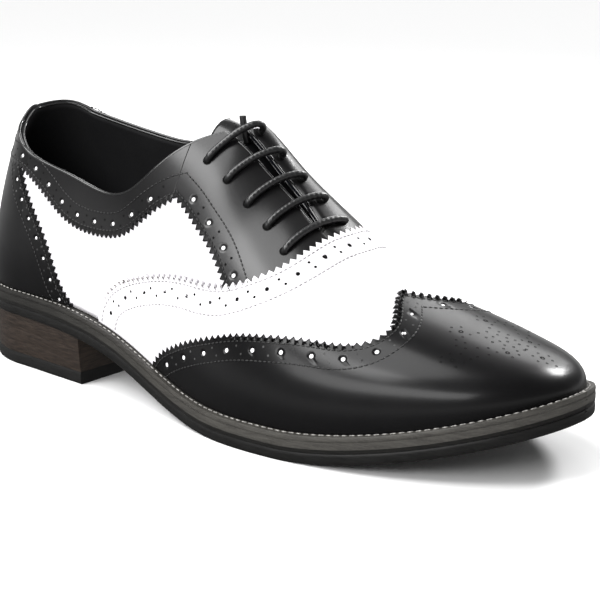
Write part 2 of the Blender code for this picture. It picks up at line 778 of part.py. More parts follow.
def build_laces(collection):
    """Five bars of round lace, each over the throat from an outer eyelet to an inner one."""
    along = np.linspace(0.0, 1.0, LACE_POINTS)
    rest = OVERLAY_CLEAR + FACING + LACE_REST + LACE / 2
    for bar in range(LACE_BARS):
        share = bar / (LACE_BARS - 1)
        outer, inner, lean, arch = (
            first + (last - first) * share for first, last in (OUTER_SPREAD, INNER_SPREAD, BAR_LEAN, BAR_ARCH)
        )
        x = FIRST_EYELET + bar * EYELET_PITCH + lean * along
        y = throat_middle(x) - outer + (outer + inner) * along
        path = surface_lift(x, turn_at_side(x, y), rest + arch * np.sin(math.pi * along**ARCH_SKEW))
        curve = bpy.data.curves.new(f"lace_bar_{bar + 1}", "CURVE")
        curve.dimensions = "3D"
        curve.bevel_depth = LACE / 2
        curve.bevel_resolution = 2
        curve.use_fill_caps = True
        curve.materials.append(material("waxed_lace"))
        line = curve.splines.new("POLY")
        line.points.add(len(path) - 1)
        for point, place in zip(line.points, path):
            point.co = (*place, 1.0)
        made = bpy.data.objects.new(curve.name, curve)
        collection.objects.link(made)


def centre_on_origin(collections):
    """Moves every piece so that the origin lies under the middle of the sole's outline."""
    _, axis, half = plan(sole_stations(), 0.0, 0.0)
    middle = ((axis - half).min() + (axis + half).max()) / 2
    for collection in collections:
        for made in collection.objects:
            made.location = (-LENGTH / 2, -middle, 0.0)


def main():
    for old in list(bpy.data.objects):
        bpy.data.objects.remove(old, do_unlink=True)
    parts = bpy.data.collections.new("spectator_shoe")
    cutters = bpy.data.collections.new("cutters")
    for collection in (parts, cutters):
        bpy.context.scene.collection.children.link(collection)
    build_sole(parts)
    build_welt(parts)
    build_insole(parts)
    build_upper(parts)
    build_overlays(parts, cutters)
    build_tongue(parts)
    build_laces(parts)
    centre_on_origin((parts, cutters))


if __name__ == "__main__":
    main()
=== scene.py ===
"""Looks of the spectator shoe: fine leather panels, perforations, stitches, lace, sole, light and camera.

Every panel is worked out on one surface, the outside of the lasted shoe. A point of it is named by a station,
its distance from the back of the heel in metres, and a turn, which runs from 0 at the outer feather edge over
1 at the crest to 2 at the inner feather edge.
"""

import logging
import math
from dataclasses import dataclass, field, replace
from enum import Enum

import bmesh
import bpy
import numpy as np
from mathutils import Matrix, Vector


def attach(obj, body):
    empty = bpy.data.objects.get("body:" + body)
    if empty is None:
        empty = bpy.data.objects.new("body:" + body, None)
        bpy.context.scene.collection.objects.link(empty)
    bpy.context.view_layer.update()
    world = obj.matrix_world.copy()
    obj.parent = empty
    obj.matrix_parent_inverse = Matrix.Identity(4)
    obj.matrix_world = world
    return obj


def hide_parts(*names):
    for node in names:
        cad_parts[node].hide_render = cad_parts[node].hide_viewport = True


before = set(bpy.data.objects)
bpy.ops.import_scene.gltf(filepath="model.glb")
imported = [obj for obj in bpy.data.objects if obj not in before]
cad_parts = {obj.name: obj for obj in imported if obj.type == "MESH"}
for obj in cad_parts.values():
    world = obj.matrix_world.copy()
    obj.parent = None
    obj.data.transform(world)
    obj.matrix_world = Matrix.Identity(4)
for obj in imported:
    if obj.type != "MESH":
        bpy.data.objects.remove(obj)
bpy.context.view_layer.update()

LOG = logging.getLogger("spectator_shoe")
Array = np.ndarray
MM = 0.001
OVER_DYE = "over_dye"

# Rows of the plan: share of the length, shift of the axis and half width as shares of half the ball width
PLAN_COLUMNS = ("station", "axis", "half")
PLAN = (
    (0.136, 0.000, 0.640),
    (0.25, -0.049, 0.654),
    (0.36, -0.089, 0.685),
    (0.48, -0.124, 0.793),
    (0.60, -0.108, 0.951),
    (0.69, -0.059, 1.000),
    (0.78, -0.010, 1.000),
    (0.90, 0.039, 1.000),
    (1.00, 0.069, 1.000),
)
# Rows of the underside: share of the length, height as a share of the seat's rise
UNDERSIDE_COLUMNS = ("station", "height")
UNDERSIDE = (
    (0.0, 1.000),
    (0.136, 0.949),
    (0.27, 0.847),
    (0.36, 0.620),
    (0.45, 0.275),
    (0.54, 0.039),
    (0.60, 0.000),
    (0.69, 0.000),
)
# Rows of the sections: share of the length, rise and sideways place of the crest, fullness low and high on
# the outer and on the inner side, and the flare over the feather edge
RIB_COLUMNS = ("station", "rise", "crest", "low_out", "high_out", "low_in", "high_in", "flare")
RIBS = (
    (0.136, 1.020, 0.000, 0.40, 0.43, 0.40, 0.68, 0.020),
    (0.25, 1.020, 0.010, 0.41, 0.57, 0.45, 0.65, 0.020),
    (0.36, 1.025, 0.059, 0.44, 0.58, 0.50, 0.62, 0.020),
    (0.45, 1.030, 0.138, 0.44, 0.48, 0.52, 0.58, 0.030),
    (0.50, 1.000, 0.157, 0.42, 0.42, 0.54, 0.56, 0.039),
    (0.55, 0.885, 0.165, 0.42, 0.42, 0.55, 0.56, 0.039),
    (0.60, 0.770, 0.165, 0.45, 0.45, 0.56, 0.56, 0.039),
    (0.65, 0.655, 0.157, 0.50, 0.50, 0.58, 0.56, 0.039),
    (0.70, 0.535, 0.138, 0.55, 0.55, 0.60, 0.58, 0.039),
    (0.75, 0.435, 0.108, 0.60, 0.60, 0.62, 0.62, 0.035),
    (0.80, 0.365, 0.089, 0.62, 0.64, 0.64, 0.66, 0.030),
    (0.90, 0.245, 0.059, 0.66, 0.70, 0.66, 0.70, 0.020),
    (1.00, 0.175, 0.049, 0.70, 0.75, 0.70, 0.75, 0.010),
)
# Rows of the topline: share of the length, height over the feather edge as a share of the back's rise
TOPLINE_COLUMNS = ("station", "outer", "inner")
TOPLINE = (
    (-0.055, 1.020, 1.020),
    (-0.030, 1.004, 1.028),
    (0.000, 0.960, 1.036),
    (0.065, 0.890, 1.036),
    (0.146, 0.790, 0.983),
    (0.227, 0.735, 0.942),
    (0.286, 0.708, 0.932),
    (0.325, 0.720, 0.945),
    (0.364, 0.810, 0.990),
    (0.403, 1.004, 1.065),
    (0.442, 1.170, 1.190),
    (0.480, 1.263, 1.295),
)
# Rows of the throat's middle line: share of the length, sideways place as a share of half the ball width
THROAT_COLUMNS = ("station", "middle")
THROAT = (
    (0.40, -0.045),
    (0.49, -0.045),
    (0.55, -0.036),
    (0.59, -0.050),
    (0.63, -0.100),
    (0.70, -0.060),
    (0.80, 0.020),
    (1.00, 0.060),
)
# Depth of the collar piece below the topline: share of the length, depth as a share of the back's rise
COLLAR_COLUMNS = ("station", "depth")
COLLAR_DEPTH = (
    (-0.055, 0.200),
    (0.065, 0.165),
    (0.130, 0.110),
    (0.179, 0.160),
    (0.227, 0.240),
    (0.318, 0.225),
    (0.364, 0.230),
    (0.407, 0.260),
    (0.480, 0.300),
)

# Edges of the panels as rows of (share of the length, turn), each from its outer foot or top
WING_OUTER = (
    (0.435, 0.000),
    (0.448, 0.042),
    (0.478, 0.104),
    (0.531, 0.192),
    (0.593, 0.277),
    (0.652, 0.340),
    (0.700, 0.405),
    (0.756, 0.485),
    (0.774, 0.550),
    (0.782, 0.644),
    (0.774, 0.752),
    (0.755, 0.860),
    (0.745, 0.925),
)
WING_INNER = (
    (0.745, 0.925),
    (0.766, 0.985),
    (0.785, 1.080),
    (0.795, 1.180),
    (0.793, 1.290),
    (0.778, 1.400),
    (0.745, 1.510),
    (0.688, 1.615),
    (0.593, 1.750),
    (0.531, 1.835),
    (0.478, 1.910),
    (0.448, 1.964),
    (0.435, 2.000),
)
VAMP_EDGE = (
    (0.311, 0.000),
    (0.324, 0.082),
    (0.359, 0.162),
    (0.403, 0.223),
    (0.463, 0.290),
    (0.519, 0.343),
    (0.553, 0.390),
    (0.590, 0.470),
    (0.616, 0.553),
    (0.638, 0.710),
    (0.646, 0.850),
    (0.650, 0.985),
    (0.646, 1.150),
    (0.634, 1.320),
    (0.616, 1.480),
    (0.590, 1.570),
    (0.553, 1.650),
    (0.519, 1.699),
    (0.463, 1.739),
    (0.403, 1.794),
    (0.359, 1.852),
    (0.324, 1.926),
    (0.311, 2.000),
)
FACING_REAR_OUTER = (
    (0.424, 0.508),
    (0.434, 0.501),
    (0.455, 0.487),
    (0.482, 0.463),
    (0.517, 0.438),
    (0.545, 0.402),
    (0.566, 0.365),
)
FACING_REAR_INNER = (
    (0.424, 1.500),
    (0.434, 1.512),
    (0.455, 1.542),
    (0.482, 1.573),
    (0.517, 1.603),
    (0.545, 1.643),
    (0.566, 1.680),
)
# The lower ends of the eyelet pieces, hidden under the vamp
FACING_END_OUTER = (
    (0.566, 0.365),
    (0.608, 0.460),
    (0.634, 0.560),
    (0.656, 0.710),
    (0.662, 0.840),
)
FACING_END_INNER = (
    (0.566, 1.680),
    (0.608, 1.570),
    (0.636, 1.460),
    (0.656, 1.200),
    (0.662, 0.900),
)
COUNTER_OUTER = (
    (0.252, 0.000),
    (0.226, 0.055),
    (0.205, 0.141),
    (0.177, 0.240),
    (0.149, 0.318),
    (0.128, 0.385),
    (0.108, 0.455),
)
COUNTER_INNER = (
    (0.252, 2.000),
    (0.226, 1.948),
    (0.205, 1.865),
    (0.177, 1.765),
    (0.149, 1.680),
    (0.130, 1.595),
    (0.112, 1.500),
    (0.104, 1.455),
)
# Half of the toe's rosette: share of the length, turn away from its axis and radius in millimetres
ROSETTE_AXIS = 0.955
ROSETTE = (
    (0.851, 0.110, 1.00),
    (0.842, 0.150, 0.50),
    (0.845, 0.070, 0.50),
    (0.859, 0.150, 0.50),
    (0.862, 0.100, 0.50),
    (0.838, 0.110, 0.50),
    (0.872, 0.390, 0.95),
    (0.862, 0.430, 0.50),
    (0.865, 0.340, 0.50),
    (0.880, 0.440, 0.50),
    (0.885, 0.380, 0.50),
    (0.875, 0.310, 0.50),
    (0.859, 0.385, 0.50),
    (0.914, 0.130, 0.90),
    (0.905, 0.170, 0.50),
    (0.906, 0.100, 0.50),
    (0.923, 0.165, 0.50),
    (0.925, 0.100, 0.50),
    (0.945, 0.000, 1.00),
    (0.936, 0.035, 0.50),
    (0.954, 0.045, 0.50),
    (0.946, 0.080, 0.50),
    (0.962, 0.000, 0.50),
    (0.866, 0.050, 0.55),
    (0.870, 0.000, 0.55),
    (0.878, 0.060, 0.55),
    (0.882, 0.020, 0.50),
    (0.889, 0.078, 0.55),
    (0.893, 0.035, 0.55),
    (0.899, 0.000, 0.60),
    (0.902, 0.055, 0.50),
    (0.911, 0.030, 0.55),
    (0.919, 0.060, 0.50),
    (0.923, 0.010, 0.55),
    (0.857, 0.200, 0.50),
    (0.863, 0.250, 0.50),
    (0.868, 0.195, 0.50),
    (0.874, 0.245, 0.50),
    (0.893, 0.290, 0.50),
    (0.901, 0.230, 0.50),
    (0.889, 0.335, 0.50),
    (0.884, 0.200, 0.50),
    (0.893, 0.160, 0.50),
)


class Side(Enum):
    """The two sides of the shoe."""

    OUTER = -1
    INNER = 1


def unit(vectors: Array) -> Array:
    """Vectors at length 1, with their parts on the last axis; a zero vector stays zero."""
    return vectors / np.maximum(np.linalg.norm(vectors, axis=-1, keepdims=True), 1e-15)


def run_along(places: Array) -> Array:
    """Distance of each point of a chain from its first point, along the chain."""
    return np.concatenate([[0.0], np.cumsum(np.linalg.norm(np.diff(places, axis=0), axis=1))])


def squared_gaps(first: Array, second: Array) -> Array:
    """Squared distances from each point of one set to each of another, by |a|^2 + |b|^2 - 2ab."""
    return (first**2).sum(1)[:, None] + (second**2).sum(1)[None] - 2 * first @ second.T


def read_curve(curve: Array, at: Array) -> Array:
    """Rows of a curve, read at shares of the way through its rows."""
    rows = np.linspace(0.0, 1.0, len(curve))
    return np.stack([np.interp(at, rows, curve[:, i]) for i in range(curve.shape[1])], axis=1)


def spline(knots: Array, values: Array, at: Array) -> Array:
    """A natural cubic spline through (knots, values), held level past both ends.

    Args:
        knots: rising places of the known values.
        values: the known values, one number or one row each.
        at: where the spline is read.

    Returns:
        The values at those places.
    """
    knots = np.asarray(knots, float)
    values = np.asarray(values, float)
    count = len(knots)
    steps = np.diff(knots)
    flat = values.reshape(count, -1)
    matrix = np.eye(count)
    bend = np.zeros_like(flat)
    for i in range(1, count - 1):
        matrix[i, i - 1 : i + 2] = steps[i - 1], 2 * (steps[i - 1] + steps[i]), steps[i]
        bend[i] = 6 * ((flat[i + 1] - flat[i]) / steps[i] - (flat[i] - flat[i - 1]) / steps[i - 1])
    curve = np.linalg.solve(matrix, bend)
    at = np.clip(np.asarray(at, float), knots[0], knots[-1])
    k = np.clip(np.searchsorted(knots, at) - 1, 0, count - 2)
    before = ((knots[k + 1] - at) / steps[k])[..., None]
    after = 1.0 - before
    pull = (before**3 - before) * curve[k] + (after**3 - after) * curve[k + 1]
    found = before * flat[k] + after * flat[k + 1] + pull * steps[k][..., None] ** 2 / 6
    return found.reshape(at.shape + values.shape[1:])


def read(columns: tuple[str, ...], rows: tuple, name: str, share: Array) -> Array:
    """A column of a table, read between its rows on a natural cubic spline.

    Args:
        columns: the columns' names, the first of them the share of the length.
        rows: the table's rows.
        name: the column to read.
        share: shares of the length.

    Returns:
        The column's values there.
    """
    table = np.array(rows, float)
    return spline(table[:, 0], table[:, columns.index(name)], share)


@dataclass(frozen=True)
class Last:
    """The outside of the lasted shoe, from its driving sizes in metres."""

    length: float = 0.308
    ball_width: float = 0.1016
    heel_width: float = 0.065
    seat_rise: float = 0.0255
    toe_spring: float = 0.021
    back_rise: float = 0.0773
    instep_rise: float = 0.100
    welt_reach: float = 0.005
    welt_reach_heel: float = 0.003
    toe_depth: float = 0.0565
    throat_gap: float = 0.0058
    throat_top: float = 0.150
    throat_end: float = 0.1955
    sole_stack: float = 0.0108
    gap: float = 0.0003
    heel_round: float = 0.136
    tread_start: float = 0.60
    tread_end: float = 0.69
    spring_start: float = 0.68
    spring_curve: float = 1.6
    plan_rounding: tuple[float, float] = (2.1, 0.488)
    reach_widens: float = 0.12
    back_station_share: float = -0.0617
    back_bulge: tuple[float, float, float] = (0.0, -0.95, -1.05)
    toe_closing: float = 2.5
    flare_fades: float = 0.03
    crest_settles: float = 0.45
    throat_taper: float = 0.25
    throat_reach: float = 0.33
    crest_span: float = 0.65
    halvings: int = 32

    @property
    def half_ball(self) -> float:
        """Half the width across the ball."""
        return self.ball_width / 2

    @property
    def round_x(self) -> float:
        """Where the heel's round back begins."""
        return self.heel_round * self.length

    @property
    def back_x(self) -> float:
        """The station of the back seam."""
        return self.back_station_share * self.length

    @property
    def tip(self) -> float:
        """The station of the toe's tip."""
        return self.length - self.welt_reach

    @property
    def shift(self) -> Array:
        """How far the surface is moved so that the origin lies under the middle of the outline."""
        stations = np.linspace(0.0, self.length, 2000)
        _, axis, half = self.plan(stations, 0.0, 0.0)
        middle = ((axis - half).min() + (axis + half).max()) / 2
        return np.array([-self.length / 2, -middle, 0.0])

    def underside(self, x: Array) -> Array:
        """Height of the outsole's underside: raised seat, arch, flat tread and toe spring."""
        share = np.clip(np.asarray(x, float) / self.length, 0.0, 1.0)
        arch = read(UNDERSIDE_COLUMNS, UNDERSIDE, "height", share) * self.seat_rise
        arch = np.where(share < self.tread_start, np.maximum(arch, 0.0), 0.0)
        spring = np.clip((share - self.spring_start) / (1.0 - self.spring_start), 0.0, 1.0)
        return arch + self.toe_spring * spring**self.spring_curve

    def feather(self, x: Array) -> Array:
        """Height of the edge where the upper meets the welt."""
        return self.underside(x) + self.sole_stack + self.gap

    def heel_angle(self, station: Array) -> Array:
        """Angle round the heel: 0 at the back seam, a quarter turn where the round back begins."""
        return np.clip((station - self.back_x) / (self.round_x - self.back_x), 0.0, 1.0) * math.pi / 2

    def plan(self, station: Array, inset: float, inset_heel: float) -> tuple[Array, Array, Array]:
        """The sole's outline at a station, drawn in by the insets.

        Args:
            station: distance from the back of the heel.
            inset: how far the outline is drawn in ahead of the heel.
            inset_heel: how far it is drawn in at the heel.

        Returns:
            x, y of the axis, and half width.
        """
        station = np.asarray(station, float)
        around = self.heel_angle(station)
        back = station < self.round_x
        x = np.where(back, self.round_x - (self.round_x - inset_heel) * np.cos(around), station)
        share = x / self.length
        axis = read(PLAN_COLUMNS, PLAN, "axis", share) * self.half_ball
        half = read(PLAN_COLUMNS, PLAN, "half", np.minimum(share, self.tread_end)) * self.half_ball
        start = self.tread_end * self.length
        narrowing = np.clip((x - start) / (self.length - inset - start), 0.0, 1.0)
        power, root = self.plan_rounding
        widen = np.clip((station - self.round_x) / (self.reach_widens * self.length), 0.0, 1.0)
        widen = widen * widen * (3 - 2 * widen)
        drawn = inset_heel + (inset - inset_heel) * widen
        half = (half - drawn) * (1 - narrowing**power) ** root
        heel = (self.heel_width / 2 - inset_heel) * np.sin(around)
        return x, np.where(back, 0.0, axis), np.where(back, heel, half)

    def raw(self, station: Array, turn: Array) -> Array:
        """Points of the surface before the shift: a cubic from the feather edge to the crest on each side.

        Args:
            station: distance from the back of the heel.
            turn: 0 at the outer feather edge, 1 at the crest, 2 at the inner one.

        Returns:
            Points, with x, y and z last.
        """
        station, turn = np.broadcast_arrays(np.asarray(station, float), np.asarray(turn, float))
        outer = turn <= 1.0
        side = np.where(outer, -1.0, 1.0)
        v = np.where(outer, turn, 2.0 - turn)
        x, axis, half = self.plan(station, self.welt_reach, self.welt_reach_heel)
        share = np.maximum(station, self.round_x) / self.length
        table = np.array(RIBS, float)
        cells = spline(table[:, 0], table[:, 1:], share)
        ribs = {name: cells[..., i] for i, name in enumerate(RIB_COLUMNS[1:])}
        low = np.where(outer, ribs["low_out"], ribs["low_in"])
        high = np.where(outer, ribs["high_out"], ribs["high_in"])
        closing = np.clip((station - (self.tip - self.toe_depth)) / self.toe_depth, 0.0, 1.0)
        rise = ribs["rise"] * self.instep_rise * np.sqrt(1.0 - closing**self.toe_closing)
        flare = ribs["flare"] * self.half_ball * np.minimum(1.0, half / self.flare_fades)
        b0, b1, b2, b3 = (1 - v) ** 3, 3 * v * (1 - v) ** 2, 3 * v * v * (1 - v), v**3
        settle = np.minimum(1.0, half / (self.crest_settles * self.half_ball))
        crest = axis + (ribs["crest"] * self.half_ball - axis) * settle
        edge = axis + side * half
        shoulder = crest + side * np.abs(edge - crest) * high
        y = edge * b0 + (edge + side * flare) * b1 + shoulder * b2 + crest * b3
        z = self.feather(x) + rise * (low * b1 + b2 + b3)
        around = self.heel_angle(station)
        reach = self.round_x - self.welt_reach_heel
        out = [reach + share_out * self.heel_width / 2 for share_out in self.back_bulge]
        behind = reach * b0 + out[0] * b1 + out[1] * b2 + out[2] * b3
        seat_half = self.heel_width / 2 - self.welt_reach_heel
        across = seat_half * b0 + (seat_half + flare) * b1 + seat_half * high * b2
        back = station < self.round_x
        x = np.where(back, self.round_x - behind * np.cos(around), x)
        y = np.where(back, side * across * np.sin(around), y)
        return np.stack(np.broadcast_arrays(x, y, z), axis=-1)

    def frame_at(self, station: Array, turn: Array) -> tuple[Array, Array]:
        """Points of the surface and its outward normals there, from differences over small steps.

        Args:
            station: distance from the back of the heel.
            turn: 0 at the outer feather edge, 1 at the crest, 2 at the inner one.

        Returns:
            Points and normals, with x, y and z last.
        """
        step = 2e-5
        station, turn = np.broadcast_arrays(np.asarray(station, float), np.asarray(turn, float))
        here = self.raw(station, turn)
        inside = np.clip(station, self.back_x + 2 * step, self.tip - 4 * step)
        side_turn = np.clip(turn, 5 * step, 2.0 - 5 * step)
        along = self.raw(inside + step, side_turn) - self.raw(inside - step, side_turn)
        up = self.raw(inside, side_turn + 5 * step) - self.raw(inside, side_turn - 5 * step)
        return here + self.shift, unit(np.cross(along, up))

    def lifted(self, station: Array, turn: Array, lift: Array) -> Array:
        """Points that stand off the surface along its normal by the lift."""
        here, normal = self.frame_at(station, turn)
        return here + normal * np.asarray(lift)[..., None]

    def nearest(self, point: Array, station: Array, turn: Array) -> tuple[Array, Array]:
        """Station and turn of the surface nearest to points, by Gauss-Newton steps from a first guess.

        Args:
            point: the points, near the surface.
            station: first guess of their stations.
            turn: first guess of their turns.

        Returns:
            The stations and turns.
        """
        step = 1e-4
        for _ in range(6):
            miss = point - self.shift - self.raw(station, turn)
            by_station = (self.raw(station + step, turn) - self.raw(station - step, turn)) / (2 * step)
            by_turn = (self.raw(station, turn + step) - self.raw(station, turn - step)) / (2 * step)
            ss = (by_station**2).sum(-1)
            tt = (by_turn**2).sum(-1)
            st = (by_station * by_turn).sum(-1)
            ms = (by_station * miss).sum(-1)
            mt = (by_turn * miss).sum(-1)
            scale = np.maximum(ss * tt - st * st, 1e-12)
            ahead = np.clip((tt * ms - st * mt) / scale, -0.01, 0.01)
            over = np.clip((ss * mt - st * ms) / scale, -0.2, 0.2)
            station = np.clip(station + ahead, self.back_x, self.tip)
            turn = np.clip(turn + over, 0.0, 2.0)
        return station, turn

    def turn_at_height(self, station: Array, side: Side, height: Array) -> Array:
        """The turn at which the surface reaches a height on one side, by halving."""
        station = np.asarray(station, float)
        below, above = np.zeros_like(station), np.ones_like(station)
        for _ in range(self.halvings):
            middle = (below + above) / 2
            turn = middle if side is Side.OUTER else 2.0 - middle
            low = self.raw(station, turn)[..., 2] < height
            below, above = np.where(low, middle, below), np.where(low, above, middle)
        return below if side is Side.OUTER else 2.0 - below

    def turn_at_side(self, station: Array, y: Array) -> Array:
        """The turn near the crest at which the surface reaches a sideways place, by halving."""
        station = np.asarray(station, float)
        below = np.full_like(station, 1.0 - self.crest_span)
        above = np.full_like(station, 1.0 + self.crest_span)
        for _ in range(self.halvings):
            middle = (below + above) / 2
            low = self.raw(station, middle)[..., 1] < y
            below, above = np.where(low, middle, below), np.where(low, above, middle)
        return below

    def throat_middle(self, x: Array) -> Array:
        """Sideways place of the throat's middle line, before the shift."""
        return read(THROAT_COLUMNS, THROAT, "middle", np.asarray(x) / self.length) * self.half_ball

    def topline(self, station: Array, side: Side) -> Array:
        """Height of the collar's edge over the ground."""
        name = "outer" if side is Side.OUTER else "inner"
        over = read(TOPLINE_COLUMNS, TOPLINE, name, np.asarray(station) / self.length) * self.back_rise
        return self.feather(self.plan(station, self.welt_reach, self.welt_reach_heel)[0]) + over

    def upper_edge(self, station: Array, side: Side) -> Array:
        """The turn where the upper ends: at the collar, the throat, or the middle line past the throat."""
        station = np.asarray(station, float)
        left = np.clip((self.throat_end - station) / (self.throat_end - self.throat_top), 0.0, 1.0)
        gap = self.throat_gap / 2 * left**self.throat_taper
        throat = self.turn_at_side(station, self.throat_middle(station) + side.value * gap)
        throat = np.where(station < self.throat_reach * self.length, 1.0, throat)
        collar = self.turn_at_height(station, side, self.topline(station, side))
        collar = np.where(station < self.throat_top, collar, throat)
        return np.minimum(collar, throat) if side is Side.OUTER else np.maximum(collar, throat)

    def collar_edge(self, station: Array, side: Side) -> Array:
        """The turn of the collar piece's lower edge."""
        share = np.asarray(station) / self.length
        depth = read(COLLAR_COLUMNS, COLLAR_DEPTH, "depth", share) * self.back_rise
        return self.turn_at_height(station, side, self.topline(station, side) - depth)


LAST = Last()


def edge_from(rows: tuple, spacing: float, last: Last = LAST) -> Array:
    """An edge through its table's rows, with points at even distances on the surface.

    Args:
        rows: rows of share of the length and turn.
        spacing: distance between neighbouring points, in metres.
        last: the surface.

    Returns:
        Rows of station and turn.
    """
    table = np.array(rows, float) * (last.length, 1.0)
    run = run_along(last.raw(table[:, 0], table[:, 1]))
    dense = spline(run, table, np.linspace(0.0, run[-1], 800))
    return even(dense, spacing, last)


def even(curve: Array, spacing: float, last: Last = LAST) -> Array:
    """A curve of stations and turns read again at even distances on the surface."""
    run = run_along(last.raw(curve[:, 0], curve[:, 1]))
    count = max(8, int(round(run[-1] / spacing)))
    at = np.linspace(0.0, run[-1], count + 1)
    return np.stack([np.interp(at, run, curve[:, 0]), np.interp(at, run, curve[:, 1])], axis=1)


@dataclass(frozen=True)
class SurfaceLine:
    """A line on the surface with its frames: points, directions along it, inwards and out of the leather."""

    curve: Array
    point: Array
    along: Array
    inward: Array
    normal: Array
    run: Array

    @staticmethod
    def on(curve: Array, towards: Array, last: Last = LAST) -> "SurfaceLine":
        """The line through a curve of stations and turns, with inwards on the side of the towards points."""
        point, normal = last.frame_at(curve[:, 0], curve[:, 1])
        along = unit(np.gradient(point, axis=0))
        inward = np.cross(normal, along)
        side = np.sign((inward * (towards - point)).sum(1).mean())
        return SurfaceLine(curve, point, along, inward * side, normal, run_along(point))

    def offset(self, distance: float, last: Last = LAST) -> "SurfaceLine":
        """The line moved inwards over the surface by a distance."""
        goal = self.point + self.inward * distance
        station, turn = last.nearest(goal, self.curve[:, 0], self.curve[:, 1])
        curve = even(np.stack([station, turn], axis=1), np.diff(self.run).mean())
        moved = SurfaceLine.on(curve, goal[:1] + self.inward[:1])
        before, after = self.inward[len(self.inward) // 2], moved.inward[len(moved.inward) // 2]
        return replace(moved, inward=moved.inward * np.sign((after * before).sum()))

    def read_at(self, at: Array) -> tuple[Array, Array, Array, Array]:
        """Points, directions along, inwards and normals at distances along the line."""
        out = []
        for values in (self.point, self.along, self.inward, self.normal):
            out.append(np.stack([np.interp(at, self.run, values[:, i]) for i in range(3)], axis=1))
        return tuple(out)


def new_object(
    name: str, points: Array, faces: Array, materials: list[bpy.types.Material]
) -> bpy.types.Object:
    """An object with a mesh of quads or triangles, put into the mesh as whole arrays.

    Args:
        name: the piece's name.
        points: vertices, with x, y and z last.
        faces: rows of 3 or 4 vertex numbers.
        materials: the piece's materials, the first on every face.

    Returns:
        The object, linked to the scene and shaded smooth.
    """
    mesh = bpy.data.meshes.new(name)
    points = np.asarray(points, np.float32).reshape(-1, 3)
    faces = np.asarray(faces, np.int32)
    sides = faces.shape[1]
    mesh.vertices.add(len(points))
    mesh.vertices.foreach_set("co", points.ravel())
    mesh.loops.add(faces.size)
    mesh.loops.foreach_set("vertex_index", faces.ravel())
    mesh.polygons.add(len(faces))
    mesh.polygons.foreach_set("loop_start", np.arange(0, faces.size, sides, dtype=np.int32))
    mesh.update(calc_edges=True)
    mesh.validate()
    mesh.shade_smooth()
    for finish in materials:
        mesh.materials.append(finish)
    made = bpy.data.objects.new(name, mesh)
    bpy.context.scene.collection.objects.link(made)
    return made


def grid_quads(rows: int, columns: int, start: int = 0, flip: bool = False) -> Array:
    """Faces of a grid whose points are numbered row by row from start."""
    a = start + (np.arange(rows - 1)[:, None] * columns + np.arange(columns - 1)[None, :]).ravel()
    quads = np.stack([a, a + columns, a + columns + 1, a + 1], axis=1)
    return quads[:, ::-1] if flip else quads


def ring_quads(rings: int, sides: int) -> Array:
    """Faces of a wall between closed rings of points, numbered ring by ring."""
    a = np.arange(rings - 1)[:, None] * sides
    b = np.arange(sides)[None, :]
    c = (b + 1) % sides
    return np.stack([a + b, a + c, a + c + sides, a + b + sides], axis=-1).reshape(-1, 4)


def weld(made: bpy.types.Object, distance: float = 2e-5, outwards: bool = False) -> None:
    """Makes points that coincide one, and drops the faces that collapse.

    Args:
        made: the piece.
        distance: how close points are made one.
        outwards: True turns the faces of a closed shell outwards.
    """
    built = bmesh.new()
    built.from_mesh(made.data)
    bmesh.ops.remove_doubles(built, verts=built.verts, dist=distance)
    bmesh.ops.dissolve_degenerate(built, edges=built.edges, dist=distance / 4)
    if outwards:
        bmesh.ops.recalc_face_normals(built, faces=built.faces)
    built.to_mesh(made.data)
    built.free()
    made.data.shade_smooth()


def solidify(made: bpy.types.Object, thickness: float, inner: int = 0, rim: int = 0) -> None:
    """Gives an open sheet its thickness inwards.

    Args:
        made: the sheet.
        thickness: the wall's thickness.
        inner: how many slots the inner side's material lies after the face's.
        rim: the same for the rim.
    """
    wall = made.modifiers.new("Wall", "SOLIDIFY")
    wall.thickness = thickness
    wall.offset = -1.0
    wall.use_even_offset = False
    wall.material_offset = inner
    wall.material_offset_rim = rim


